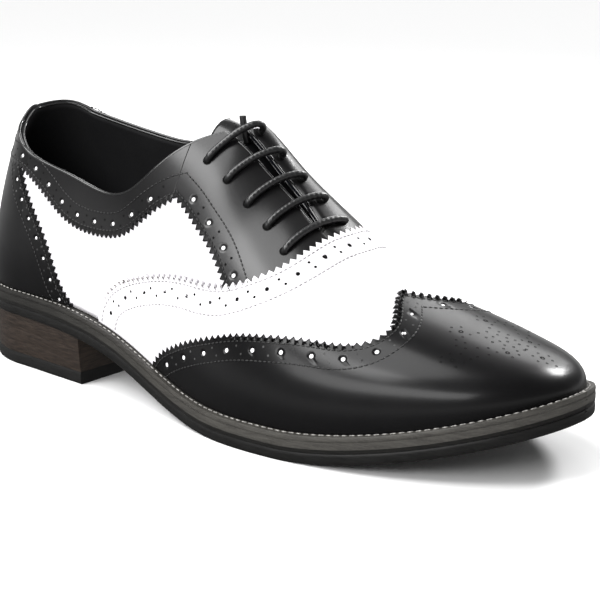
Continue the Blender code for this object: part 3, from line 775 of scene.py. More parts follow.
class Nodes:
    """A short way to write a material's nodes."""

    def __init__(self, name: str) -> None:
        """Makes an empty Principled material."""
        self.material = bpy.data.materials.new(name)
        self.material.use_nodes = True
        self.tree = self.material.node_tree
        self.shader = self.tree.nodes["Principled BSDF"]

    def add(self, kind: str, values: dict | None = None, **settings) -> bpy.types.Node:
        """A node with its settings, and with input values or links by name."""
        node = self.tree.nodes.new(kind)
        for key, value in settings.items():
            setattr(node, key, value)
        for key, value in (values or {}).items():
            self.feed(node.inputs[key], value)
        return node

    def feed(self, socket: bpy.types.NodeSocket, value: object) -> None:
        """Links a socket to another node's output, or sets its value."""
        if isinstance(value, bpy.types.NodeSocket):
            self.tree.links.new(value, socket)
        else:
            socket.default_value = value

    def shade(self, values: dict[str, object]) -> None:
        """Gives the shader its inputs, each a value or another node's output."""
        for key, value in values.items():
            self.feed(self.shader.inputs[key], value)

    def place(self, scale: tuple[float, float, float] = (1.0, 1.0, 1.0)) -> bpy.types.NodeSocket:
        """Object coordinates, stretched."""
        source = self.add("ShaderNodeTexCoord").outputs["Object"]
        return self.add("ShaderNodeMapping", {"Vector": source, "Scale": scale}).outputs["Vector"]

    def noise(self, where: bpy.types.NodeSocket, scale: float, detail: float = 3.0) -> bpy.types.NodeSocket:
        """Noise of a scale per metre."""
        values = {"Vector": where, "Scale": scale, "Detail": detail, "Roughness": 0.55}
        return self.add("ShaderNodeTexNoise", values).outputs["Fac"]

    def cells(self, where: bpy.types.NodeSocket, scale: float) -> bpy.types.NodeSocket:
        """Distance to the middles of irregular cells."""
        return self.add("ShaderNodeTexVoronoi", {"Vector": where, "Scale": scale}).outputs["Distance"]

    def ramp(
        self, value: bpy.types.NodeSocket, low: float, high: float, to_low: float, to_high: float
    ) -> bpy.types.NodeSocket:
        """A value mapped from one range to another and held there."""
        values = {"Value": value, "From Min": low, "From Max": high, "To Min": to_low, "To Max": to_high}
        return self.add("ShaderNodeMapRange", values).outputs["Result"]

    def mix(self, share: bpy.types.NodeSocket, first: object, second: object) -> bpy.types.NodeSocket:
        """A colour between two."""
        node = self.add("ShaderNodeMix", data_type="RGBA")
        self.feed(node.inputs[0], share)
        self.feed(node.inputs[6], first)
        self.feed(node.inputs[7], second)
        return node.outputs[2]

    def bump(
        self,
        height: bpy.types.NodeSocket,
        distance: float,
        strength: float,
        normal: bpy.types.NodeSocket | None = None,
    ) -> bpy.types.NodeSocket:
        """Bump from a height, on top of another bump where one is given."""
        values = {"Height": height, "Distance": distance, "Strength": strength}
        if normal is not None:
            values["Normal"] = normal
        return self.add("ShaderNodeBump", values).outputs["Normal"]


def rgba(colour: tuple[float, float, float], factor: float = 1.0) -> tuple[float, float, float, float]:
    """A colour with full cover, made lighter or darker by a factor."""
    return tuple(min(1.0, channel * factor) for channel in colour) + (1.0,)


@dataclass(frozen=True)
class LeatherFinish:
    """Smooth or lightly grained leather with a polish."""

    name: str
    colour: tuple[float, float, float]
    roughness: float
    coat: float
    coat_roughness: float
    grain: float
    grain_scale: float = 1400.0
    cloud: float = 0.12
    gloss: float = 0.5
    front: tuple[float, float, float] | None = None
    front_from: float = -0.030
    cloud_scale: float = 38.0
    smear_scale: float = 90.0
    wave_scale: float = 45.0

    def material(self) -> bpy.types.Material:
        """Builds the leather: cloudy colour, uneven polish, pores and fine grain."""
        nodes = Nodes(self.name)
        where = nodes.place()
        share = nodes.ramp(nodes.noise(where, self.cloud_scale, 4.0), 0.3, 0.7, 0.0, 1.0)
        colour = nodes.mix(share, rgba(self.colour, 1.0 - self.cloud), rgba(self.colour, 1.0 + self.cloud))
        if self.front:
            along = nodes.add("ShaderNodeSeparateXYZ", {"Vector": where}).outputs["X"]
            ahead = nodes.ramp(along, self.front_from, self.front_from + 0.8 * MM, 0.0, 1.0)
            colour = nodes.mix(ahead, colour, rgba(self.front))
        smear = nodes.noise(where, self.smear_scale, 5.0)
        normal = nodes.bump(nodes.cells(where, self.grain_scale), 0.06 * MM, self.grain)
        fine = nodes.noise(where, self.grain_scale * 0.6, 4.0)
        normal = nodes.bump(fine, 0.08 * MM, self.grain * 0.8, normal)
        normal = nodes.bump(nodes.noise(where, self.wave_scale, 2.0), 0.6 * MM, 0.06, normal)
        nodes.shade(
            {
                "Base Color": colour,
                "Roughness": nodes.ramp(smear, 0.25, 0.75, self.roughness - 0.05, self.roughness + 0.06),
                "Coat Weight": self.coat,
                "Coat Roughness": self.coat_roughness,
                "Specular IOR Level": self.gloss,
                "Normal": normal,
            }
        )
        return nodes.material


@dataclass(frozen=True)
class EdgeFinish:
    """The waxed edge of stacked sole leather: fine level streaks with a satin polish."""

    name: str
    dark: tuple[float, float, float]
    light: tuple[float, float, float]
    roughness: float
    streaks: float = 900.0
    coat: float = 0.10
    gloss: float = 0.22
    heel_shade: float = 1.0
    dyed_foot: bool = False

    def material(self) -> bpy.types.Material:
        """Builds the edge: streaks that run level round the shoe, with scattered fibres."""
        nodes = Nodes(self.name)
        streak = nodes.noise(nodes.place((1.0, 1.0, 9.0)), self.streaks / 9.0, 6.0)
        fibre = nodes.noise(nodes.place((1.0, 1.0, 3.0)), self.streaks, 3.0)
        base = nodes.mix(nodes.ramp(streak, 0.32, 0.68, 0.0, 1.0), rgba(self.dark), rgba(self.light))
        speck = nodes.ramp(fibre, 0.45, 0.75, 0.0, 0.55)
        colour = nodes.mix(speck, base, rgba(self.light, 1.25))
        along = nodes.add("ShaderNodeSeparateXYZ", {"Vector": nodes.place()}).outputs["X"]
        shade = nodes.ramp(along, -0.10, 0.02, self.heel_shade, 1.0)
        if self.dyed_foot:
            seam = nodes.add("ShaderNodeAttribute", attribute_name=OVER_DYE).outputs["Fac"]
            shade = nodes.ramp(seam, -0.01, 0.01, 0.16, shade)
        tinted = nodes.add("ShaderNodeVectorMath", operation="SCALE")
        nodes.feed(tinted.inputs[0], colour)
        nodes.feed(tinted.inputs["Scale"], shade)
        nodes.shade(
            {
                "Base Color": tinted.outputs[0],
                "Specular IOR Level": self.gloss,
                "Roughness": nodes.ramp(fibre, 0.3, 0.7, self.roughness, self.roughness + 0.12),
                "Coat Weight": self.coat,
                "Coat Roughness": 0.35,
                "Normal": nodes.bump(fibre, 0.12 * MM, 0.5, nodes.bump(streak, 0.25 * MM, 0.5)),
            }
        )
        return nodes.material


@dataclass(frozen=True)
class ThreadFinish:
    """Twisted thread or waxed lace."""

    name: str
    colour: tuple[float, float, float]
    roughness: float
    twist: float = 1500.0
    coat: float = 0.0

    def material(self) -> bpy.types.Material:
        """Builds the thread: slanting plies with a little fluff."""
        nodes = Nodes(self.name)
        where = nodes.place((1.0, 0.8, 0.6))
        plies = nodes.add(
            "ShaderNodeTexWave",
            {"Vector": where, "Scale": self.twist / 6.0, "Distortion": 1.5, "Detail": 2.0},
            bands_direction="DIAGONAL",
        ).outputs["Fac"]
        fluff = nodes.noise(where, self.twist, 3.0)
        share = nodes.ramp(plies, 0.2, 0.8, 0.0, 1.0)
        nodes.shade(
            {
                "Base Color": nodes.mix(share, rgba(self.colour, 0.7), rgba(self.colour, 1.3)),
                "Roughness": nodes.ramp(fluff, 0.3, 0.7, self.roughness, self.roughness + 0.15),
                "Coat Weight": self.coat,
                "Coat Roughness": 0.3,
                "Normal": nodes.bump(fluff, 0.1 * MM, 0.4, nodes.bump(plies, 0.2 * MM, 0.6)),
            }
        )
        return nodes.material


class Finish(Enum):
    """The finishes of the shoe by name."""

    BLACK = LeatherFinish(
        "polished_black_calf", (0.0034, 0.0033, 0.0036), 0.34, 0.27, 0.19, 0.05, gloss=0.08
    )
    FACING = LeatherFinish("facing_leather", (0.0040, 0.0038, 0.0041), 0.42, 0.56, 0.22, 0.13, gloss=0.10)
    BINDING = LeatherFinish("binding_leather", (0.005, 0.005, 0.0052), 0.26, 0.70, 0.12, 0.06, gloss=0.4)
    WHITE = LeatherFinish(
        "smooth_white_calf", (0.78, 0.765, 0.79), 0.50, 0.05, 0.3, 0.22, cloud=0.012, gloss=0.35
    )
    # Raw cut edge of the white leather, darkened so that it also paints the shadow lines of the pinked teeth
    WHITE_EDGE_AND_SHADOW = LeatherFinish("white_raw_edge_and_painted_shadow", (0.14, 0.12, 0.11), 0.8, 0.0, 0.5, 0.6, cloud=0.1)
    LINING = LeatherFinish(
        "lining_leather", (0.006, 0.006, 0.0065), 0.62, 0.0, 0.5, 0.5, gloss=0.2, front=(0.004, 0.006, 0.014)
    )
    TONGUE = LeatherFinish("tongue_leather", (0.004, 0.004, 0.0045), 0.28, 0.50, 0.12, 0.06, gloss=0.3)
    SOCK = LeatherFinish("insole_leather", (0.009, 0.0085, 0.008), 0.6, 0.0, 0.5, 0.5, gloss=0.2)
    # Dark of a hole: the dark layer seen through it, and painted shade where it fills a small hole over white
    HOLE_DARK = LeatherFinish("hole_dark", (0.003, 0.003, 0.003), 0.85, 0.0, 0.5, 0.3, gloss=0.1)
    # Small holes through black over white: a grey that paints the shade inside the narrow hole over a little
    # of the white layer beneath
    HOLE_GREY = LeatherFinish("hole_grey", (0.05, 0.05, 0.05), 0.8, 0.0, 0.5, 0.3, cloud=0.9, gloss=0.1)
    HOLE_LIGHT = LeatherFinish("hole_light", (0.86, 0.85, 0.86), 0.6, 0.0, 0.5, 0.3, cloud=0.03)
    SOLE_BLACK = EdgeFinish(
        "dyed_outsole", (0.0040, 0.0039, 0.0038), (0.0090, 0.0088, 0.0084), 0.42, gloss=0.15
    )
    SOLE_GREY = EdgeFinish(
        "sole_grey", (0.030, 0.028, 0.025), (0.056, 0.053, 0.047), 0.45, heel_shade=0.30, dyed_foot=True
    )
    HEEL = EdgeFinish(
        "heel_leather_stack", (0.008, 0.0055, 0.0042), (0.034, 0.0235, 0.0175), 0.42, streaks=1500.0
    )
    RUBBER = EdgeFinish("heel_rubber", (0.0045, 0.0044, 0.0042), (0.009, 0.0087, 0.0083), 0.55, coat=0.0)
    THREAD_BLACK = ThreadFinish("black_thread", (0.010, 0.010, 0.010), 0.40)
    # White thread, given a grey that paints the shade along the seams
    THREAD_WHITE_SHADED = ThreadFinish("white_thread_painted_grey_shade", (0.30, 0.29, 0.30), 0.7)
    THREAD_WELT = ThreadFinish("welt_thread", (0.30, 0.29, 0.275), 0.65)
    LACE = ThreadFinish("waxed_cord", (0.0042, 0.0042, 0.0045), 0.30, coat=0.45)

    def material(self) -> bpy.types.Material:
        """The material of this finish, built once."""
        return bpy.data.materials.get(self.value.name) or self.value.material()


def own(made: bpy.types.Object, slot: str, *nodes: str) -> bpy.types.Object:
    """Makes a piece ride on the shoe's only body and reports it.

    Args:
        made: the piece.
        slot: the piece's slot; not used.
        nodes: the CAD nodes that it stands for, if any.

    Returns:
        The piece.
    """
    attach(made, "root")
    if nodes:
        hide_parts(*nodes)
    LOG.info("%s: %d faces", made.name, len(made.data.polygons))
    return made


@dataclass(frozen=True)
class StitchRow:
    """A row of stitches along a line of the surface."""

    pitch: float = 2.1 * MM
    length: float = 1.7 * MM
    width: float = 0.62 * MM
    height: float = 0.26 * MM
    rings: int = 5
    sides: int = 6

    def bead(self) -> tuple[Array, Array]:
        """One stitch: a small rounded bead, as local points and quads."""
        s = np.linspace(-1.0, 1.0, self.rings)
        radius = np.sqrt(np.clip(1.0 - 0.92 * s**4, 0.0, 1.0))
        angle = np.linspace(0.0, 2 * math.pi, self.sides, endpoint=False)
        x = np.repeat(s * self.length / 2, self.sides)
        y = np.outer(radius, np.cos(angle)).ravel() * self.width / 2
        z = np.outer(radius, np.sin(angle)).ravel() * self.height
        cap = np.array([[0, 3, 2, 1], [0, 5, 4, 3]])
        far = (self.rings - 1) * self.sides
        quads = np.concatenate([ring_quads(self.rings, self.sides), cap, cap[:, ::-1] + far])
        return np.stack([x, y, z], axis=1), quads

    def along(
        self, line: SurfaceLine, lift: float, start: float = 0.0, end: float = 0.0, keep: Array | None = None
    ) -> tuple[Array, Array]:
        """Stitches along a line at a lift: each bead turned into the line's frame.

        Args:
            line: the line that the row follows.
            lift: height of the stitches' middle over the surface.
            start: distance left free at the line's beginning.
            end: distance left free at its end.
            keep: which of the line's points may carry a stitch.

        Returns:
            Points and quads of the whole row.
        """
        at = np.arange(start + self.pitch / 2, line.run[-1] - end, self.pitch)
        if keep is not None:
            at = at[np.interp(at, line.run, keep.astype(float)) > 0.6]
        point, along, inward, normal = line.read_at(at)
        local, quads = self.bead()
        places = point[:, None] + normal[:, None] * lift
        places = places + local[None, :, :1] * along[:, None] + local[None, :, 1:2] * inward[:, None]
        places = places + local[None, :, 2:] * normal[:, None]
        count = len(local)
        faces = quads[None] + (np.arange(len(at)) * count)[:, None, None]
        return places.reshape(-1, 3), faces.reshape(-1, 4)


def joined(name: str, parts: list[tuple[Array, Array]], finish: Finish, slot: str) -> bpy.types.Object:
    """One piece of many small meshes.

    Args:
        name: the piece's name.
        parts: points and quads of each mesh.
        finish: the finish of them all.
        slot: the slot that the piece belongs to.

    Returns:
        The piece.
    """
    points, faces, start = [], [], 0
    for places, quads in parts:
        points.append(places)
        faces.append(quads + start)
        start += len(places)
    made = new_object(name, np.concatenate(points), np.concatenate(faces), [finish.material()])
    return own(made, slot)


def discs(point: Array, normal: Array, radius: Array, lift: float, dish: float) -> tuple[Array, Array]:
    """Small round dishes on the surface: rings of points round each middle, lower towards the middle.

    Args:
        point: middles on the surface.
        normal: the surface's normals there.
        radius: radius of each disc.
        lift: height of the rim over the surface.
        dish: how far the middle lies below the rim.

    Returns:
        Points and quads.
    """
    sides = 12
    angle = np.linspace(0.0, 2 * math.pi, sides, endpoint=False)
    helper = np.where(np.abs(normal[:, 2:]) < 0.9, np.array([[0.0, 0.0, 1.0]]), np.array([[1.0, 0.0, 0.0]]))
    across = unit(np.cross(normal, helper))
    other = np.cross(normal, across)
    around = across[:, None] * np.cos(angle)[None, :, None] + other[:, None] * np.sin(angle)[None, :, None]
    rings = ((1.0, 0.0), (0.8, 0.45), (0.35, 0.9), (0.02, 1.0))
    layers = []
    for share, drop in rings:
        height = (lift - dish * drop) * normal[:, None]
        layers.append(point[:, None] + around * (np.asarray(radius) * share)[:, None, None] + height)
    places = np.stack(layers, axis=1)
    count = len(rings) * sides
    quads = ring_quads(len(rings), sides)
    faces = quads[None] + (np.arange(len(point)) * count)[:, None, None]
    return places.reshape(-1, 3), faces.reshape(-1, 4)


@dataclass(frozen=True)
class Perforation:
    """A row of punched holes: a large one, then a pair of small ones across the row.

    Attributes:
        pitch: distance between neighbouring large holes.
        row: distance of the large holes from the edge.
        large: radius of a large hole.
        small: radius of a small hole.
        spread: how far a small hole lies off the row.
        depth: how deep a large hole's hollow is.
        start: length left free at the edge's beginning.
        end: length left free at its end.
    """

    pitch: float = 10.5 * MM
    row: float = 5.0 * MM
    large: float = 1.2 * MM
    small: float = 0.45 * MM
    spread: float = 1.6 * MM
    depth: float = 0.6 * MM
    start: float = 4.0 * MM
    end: float = 4.0 * MM


@dataclass
class Panel:
    """A leather piece laid on the upper, between a first edge and a far edge.

    Its sheet is ruled: each point of the first edge is joined to its partner on the far edge by a line of
    stations and turns, with rows close together near the first edge.

    Attributes:
        near: the first edge, which is pinked, as rows of station and turn.
        far: the far edge, with a row for each row of near.
        nodes: the CAD nodes that the panel stands for.
        tooth_points: points of the first edge to a tooth.
        tooth_grows: length over which the teeth grow at the edge's beginning.
        bite: how far a tooth's tip stands out, and its notch back.
        ledge: how far the pinked band lies below the face.
        base: height over the surface to which the thickness is added.
        fine_band: width beside the first edge in which rows lie close.
        stitch_rows: distances of the stitch rows from the first edge.
        stitch_from: length left free at each row's beginning.
        top_line: line that the first ruled line is bent to.
        low_line: line that the last ruled line is bent to.
        pattern_edge: a longer first edge, which holes and stitches follow past the corner.
        neighbour: first edge of the panel that this one meets at a mitre.
        neighbour_rows: distances of the neighbour's stitch rows from its edge.
        neighbour_sign: -1 where the neighbour's inward side has to be turned round, else 1.
        far_dense: True draws the wide rows together towards the far edge.
    """

    name: str
    near: Array
    far: Array
    finish: Finish
    slot: str
    nodes: tuple[str, ...]
    thickness: float
    tooth_points: int = 6
    tooth_grows: float = 2.0 * MM
    bite: float = 1.0 * MM
    ledge: float = 0.12 * MM
    base: float = 0.10 * MM
    fine_band: float = 9.0 * MM
    fine_rows: int = 19
    coarse_rows: int = 22
    holes: Perforation = field(default_factory=Perforation)
    hole_finish: Finish = Finish.HOLE_LIGHT
    # By default the small holes are grey discs of painted shade
    small_finish: Finish = Finish.HOLE_GREY
    stitch_rows: tuple[float, ...] = (2.2 * MM,)
    stitch_from: tuple[float, ...] = (1.0 * MM, 1.0 * MM, 1.0 * MM)
    stitch_finish: Finish = Finish.THREAD_BLACK
    rim_finish: Finish | None = None
    stitch_lift: float = 0.02 * MM
    top_line: Array | None = None
    low_line: Array | None = None
    pattern_edge: Array | None = None
    neighbour: Array | None = None
    neighbour_rows: tuple[float, ...] = ()
    neighbour_sign: float = 1.0
    far_dense: bool = False
    last: Last = field(default_factory=lambda: LAST)

    def far_points(self) -> Array:
        """Points of the far edge."""
        return self.last.raw(self.far[:, 0], self.far[:, 1]) + self.last.shift

    def line(self) -> SurfaceLine:
        """The first edge with its frames."""
        return SurfaceLine.on(self.near, self.far_points())

    def pattern_line(self) -> SurfaceLine:
        """The line that holes and stitches follow: the first edge, or a longer one that passes its corner."""
        if self.pattern_edge is None:
            return self.line()
        return SurfaceLine.on(self.pattern_edge, self.far_points().mean(0)[None])

    def free(self, line: SurfaceLine, places: Array, distance: float, stop: float) -> Array:
        """Which places of a row may be used, so that rows end at a corner's mitre.

        Args:
            line: the edge that the row follows.
            places: points on the row.
            distance: the row's distance from the edge.
            stop: how far in from the neighbour's edge the row ends.

        Returns:
            True for each place that is far enough from the edge and has not passed the neighbour's row.
        """
        gaps = squared_gaps(places, line.point)
        kept = np.sqrt(np.maximum(gaps.min(1), 0.0)) > 0.93 * distance - 0.1 * MM
        if self.neighbour is None:
            return kept
        border = SurfaceLine.on(self.neighbour, self.far_points().mean(0)[None])
        nearest = squared_gaps(places, border.point).argmin(1)
        passed = ((places - border.point[nearest]) * border.inward[nearest]).sum(1) * self.neighbour_sign
        return kept & (passed < stop)

    def hole_places(self, line: SurfaceLine) -> tuple[Array, Array, Array, Array]:
        """The holes: a row of large ones, and a row of small ones on each side of it.

        Args:
            line: the line that the rows follow.

        Returns:
            Middles, normals, radii, and which holes are large.
        """
        pattern = self.holes
        rows = []
        for distance, radius, phase, large in (
            (pattern.row, pattern.large, 0.0, True),
            (pattern.row - pattern.spread, pattern.small, 0.5, False),
            (pattern.row + pattern.spread, pattern.small, 0.5, False),
        ):
            row = line.offset(distance)
            first = pattern.start + phase * pattern.pitch
            at = np.arange(first, row.run[-1] - pattern.end, pattern.pitch)
            point, _, _, normal = row.read_at(at)
            keep = self.free(line, point, distance, distance + 0.4 * MM)
            point, normal = point[keep], normal[keep]
            rows.append((point, normal, np.full(len(point), radius), np.full(len(point), large)))
        return tuple(np.concatenate([row[i] for row in rows]) for i in range(4))

    def distances(self, lengths: Array) -> Array:
        """Distance of each row from the first edge, for each of its points: even rows, then wide ones."""
        band = np.minimum(self.fine_band, 0.6 * lengths)[:, None]
        fine = band * np.linspace(0.0, 1.0, self.fine_rows)[None, :]
        steps = np.linspace(0.0, 1.0, self.coarse_rows + 1)[None, 1:]
        if self.far_dense:
            steps = np.sin(steps * math.pi / 2)
        rest = band + (lengths[:, None] - band) * steps
        return np.concatenate([fine, rest], axis=1)

    def teeth(self, line: SurfaceLine, rows: Array) -> Array:
        """How far each point moves outwards: a triangle wave whose tips and notches fall on points."""
        phase = (np.arange(len(rows)) % self.tooth_points) / self.tooth_points
        wave = 1.0 - 4.0 * np.abs(phase - 0.5)
        wave = wave * np.clip(line.run / self.tooth_grows, 0.0, 1.0)
        fade = np.clip(1.0 - rows / (2.6 * self.bite), 0.0, 1.0)
        return self.bite * wave[:, None] * fade

    def sheet(self, line: SurfaceLine) -> tuple[Array, Array, Array]:
        """The panel's grid: rows ruled from the first edge to the far one, with teeth on the first.

        Args:
            line: the first edge.

        Returns:
            Stations, turns, and the rows' distances from the first edge.
        """
        span = self.far - self.near
        trial = self.near[:, None] + span[:, None] * np.linspace(0.0, 1.0, 12)[None, :, None]
        ruled = self.last.raw(trial[..., 0], trial[..., 1])
        lengths = np.maximum(np.linalg.norm(np.diff(ruled, axis=1), axis=2).sum(1), 1e-4)
        rows = self.distances(lengths)
        share = rows / lengths[:, None]
        domain = self.near[:, None] + span[:, None] * share[..., None]
        probe = 1.0 * MM
        beyond = line.point - line.inward * probe
        station, turn = self.last.nearest(beyond, self.near[:, 0], self.near[:, 1])
        outwards = (np.stack([station, turn], axis=1) - self.near) / probe
        domain = domain + outwards[:, None] * self.teeth(line, rows)[..., None]
        count = len(self.near)
        for border, first in ((self.top_line, 0), (self.low_line, -1)):
            if border is None:
                continue
            goal = read_curve(border, np.clip(share[first], 0.0, 1.0))
            pull = np.linspace(1.0, 0.0, count) if first == 0 else np.linspace(0.0, 1.0, count)
            domain = domain + (goal - domain[first])[None] * pull[:, None, None] ** 3
        station = np.clip(domain[..., 0], self.last.back_x, self.last.tip)
        return station, np.clip(domain[..., 1], 0.0, 2.0), rows

    def punch(self, point: Array, top: float) -> Array:
        """Makes the large and the small holes, each kind a piece of its own.

        Args:
            point: points of the panel's grid, on the surface.
            top: height of the panel's face over the surface.

        Returns:
            How deep each point of the grid sinks into a large hole.
        """
        middles, outward, radius, large = self.hole_places(self.pattern_line())
        gaps = squared_gaps(point.reshape(-1, 3), middles[large])
        away = np.sqrt(np.maximum(gaps.min(1), 0.0)).reshape(point.shape[:-1])
        inside = np.clip((self.holes.large * 1.2 - away) / (0.35 * self.holes.large), 0.0, 1.0)
        floor = top - 0.6 * self.holes.depth
        low = discs(middles[large], outward[large], radius[large] * 0.72, floor, 0.02 * MM)
        # Small holes are flat dishes on the face; on the black panels their finish paints the shade inside
        # the hole
        high = discs(middles[~large], outward[~large], radius[~large], top + 0.04 * MM, 0.03 * MM)
        joined(f"{self.name}_holes", [low], self.hole_finish, self.slot)
        joined(f"{self.name}_small_holes", [high], self.small_finish, self.slot)
        return self.holes.depth * inside

    def sew(self, top: float) -> None:
        """Makes the rows of stitches as one piece, on a face at height top over the surface."""
        guide = self.pattern_line()
        stops = self.neighbour_rows or self.stitch_rows
        stitches = []
        for distance, start, stop in zip(self.stitch_rows, self.stitch_from, stops):
            row = guide.offset(distance)
            keep = self.free(guide, row.point, distance, stop)
            stitches.append(StitchRow().along(row, top + self.stitch_lift, start, 1.0 * MM, keep))
        joined(f"{self.name}_stitches", stitches, self.stitch_finish, self.slot)

    def build(self) -> None:
        """The panel with its thickness, teeth, hollows under the large holes, holes and stitches."""
        station, turn, rows = self.sheet(self.line())
        point, normal = self.last.frame_at(station, turn)
        top = self.base + self.thickness
        rise = np.clip((rows - 1.3 * self.bite) / (0.35 * MM), 0.0, 1.0)
        lift = top - self.ledge * (1.0 - rise) - self.punch(point, top)
        points = point + normal * lift[..., None]
        count, columns = station.shape
        middle = count // 2
        corner = points[middle, 3]
        sample = np.cross(points[middle + 1, 3] - corner, points[middle, 4] - corner)
        flip = (sample * normal[middle, 3]).sum() < 0
        rim = self.rim_finish or self.finish
        materials = [self.finish.material(), rim.material()]
        made = new_object(self.name, points, grid_quads(count, columns, 0, flip), materials)
        weld(made, 1e-6)
        solidify(made, top - self.ledge - 0.03 * MM, 0, 1)
        own(made, self.slot, *self.nodes)
        self.sew(top)


def tube(path: Array, radius: float, sides: int, across: tuple[float, float, float]) -> tuple[Array, Array]:
    """A closed tube round a path: rings of points square to it, drawn in at both ends.

    Args:
        path: points of the path.
        radius: the tube's radius.
        sides: how many points a ring has.
        across: a direction off the path, from which each ring's first point is found.

    Returns:
        Points and quads.
    """
    along = unit(np.gradient(path, axis=0))
    across = np.array(across)
    first = unit(across - (across * along).sum(1, keepdims=True) * along)
    second = np.cross(along, first)
    angle = np.linspace(0.0, 2 * math.pi, sides, endpoint=False)
    ring = first[:, None] * np.cos(angle)[None, :, None] + second[:, None] * np.sin(angle)[None, :, None]
    places = path[:, None] + ring * radius
    closing = path[[0, -1]][:, None] + ring[[0, -1]] * radius * 0.05
    places = np.concatenate([closing[:1], places, closing[1:]])
    return places.reshape(-1, 3), ring_quads(len(places), sides)


@dataclass
class Upper:
    """The upper: a thin hollow wall of white leather with a black lining, and its bound top edge."""

    wall: float = 2.0 * MM
    rows: int = 26
    black_from: float = 0.93
    last: Last = field(default_factory=lambda: LAST)

    def stations(self) -> Array:
        """Stations of the fine surface, closer together at the toe."""
        last = self.last
        toe = 0.8 * last.length
        closing = toe + (last.tip - toe) * np.sin(np.linspace(0.0, math.pi / 2, 36))
        return np.concatenate(
            [
                np.linspace(last.back_x, last.round_x, 30, endpoint=False),
                np.linspace(last.round_x, last.throat_top, 60, endpoint=False),
                np.linspace(last.throat_top, last.throat_end, 40, endpoint=False),
                np.linspace(last.throat_end, toe, 40, endpoint=False),
                closing,
            ]
        )

    def build(self) -> None:
        """Builds the wall and its bound edge."""
        stations = self.stations()
        spread = np.linspace(0.0, 1.0, self.rows)
        points, faces, tints, start = [], [], [], 0
        for side in Side:
            edge = self.last.upper_edge(stations, side)
            foot = 0.0 if side is Side.OUTER else 2.0
            turns = foot + (edge - foot)[:, None] * spread[None, :]
            place, _ = self.last.frame_at(stations[:, None], turns)
            points.append(place.reshape(-1, 3))
            faces.append(grid_quads(len(stations), self.rows, start, side is Side.INNER))
            under_collar = stations[:-1, None] < self.last.throat_end
            tints.append((2 * (under_collar & (spread[None, :-1] > self.black_from))).ravel())
            start += place.shape[0] * place.shape[1]
        # A face's slot is 0 for white or 2 for black, and its inner side and its rim take the slot after it
        lining = Finish.LINING.material()
        materials = [Finish.WHITE.material(), lining, Finish.BLACK.material(), lining]
        made = new_object("shoe_upper", np.concatenate(points), np.concatenate(faces), materials)
        made.data.polygons.foreach_set("material_index", np.concatenate(tints).astype(np.int32))
        weld(made)
        solidify(made, self.wall, 1, 1)
        own(made, "white_leather", "upper")
        self.binding()

    def binding(self) -> None:
        """The folded top edge of the collar and of the throat, as a thin roll of black leather."""
        last = self.last
        outer = np.linspace(last.throat_end, last.back_x, 260)
        inner = outer[::-1]
        rolls = (("edge_binding", 0.35 * MM, 0.75 * MM), ("lining_binding", -1.75 * MM, 0.5 * MM))
        for name, lift, radius in rolls:
            sides = []
            for stations, side in ((outer, Side.OUTER), (inner, Side.INNER)):
                turn = last.upper_edge(stations, side)
                sides.append(last.lifted(stations, turn, np.full(len(stations), lift)))
            path = np.concatenate([sides[0], sides[1][1:]])
            smooth_path = path.copy()
            smooth_path[1:-1] = (path[:-2] + 2 * path[1:-1] + path[2:]) / 4
            roll = tube(smooth_path, radius, 8, (0.25, 0.0, 1.0))
            joined(name, [roll], Finish.BINDING, "black_leather")


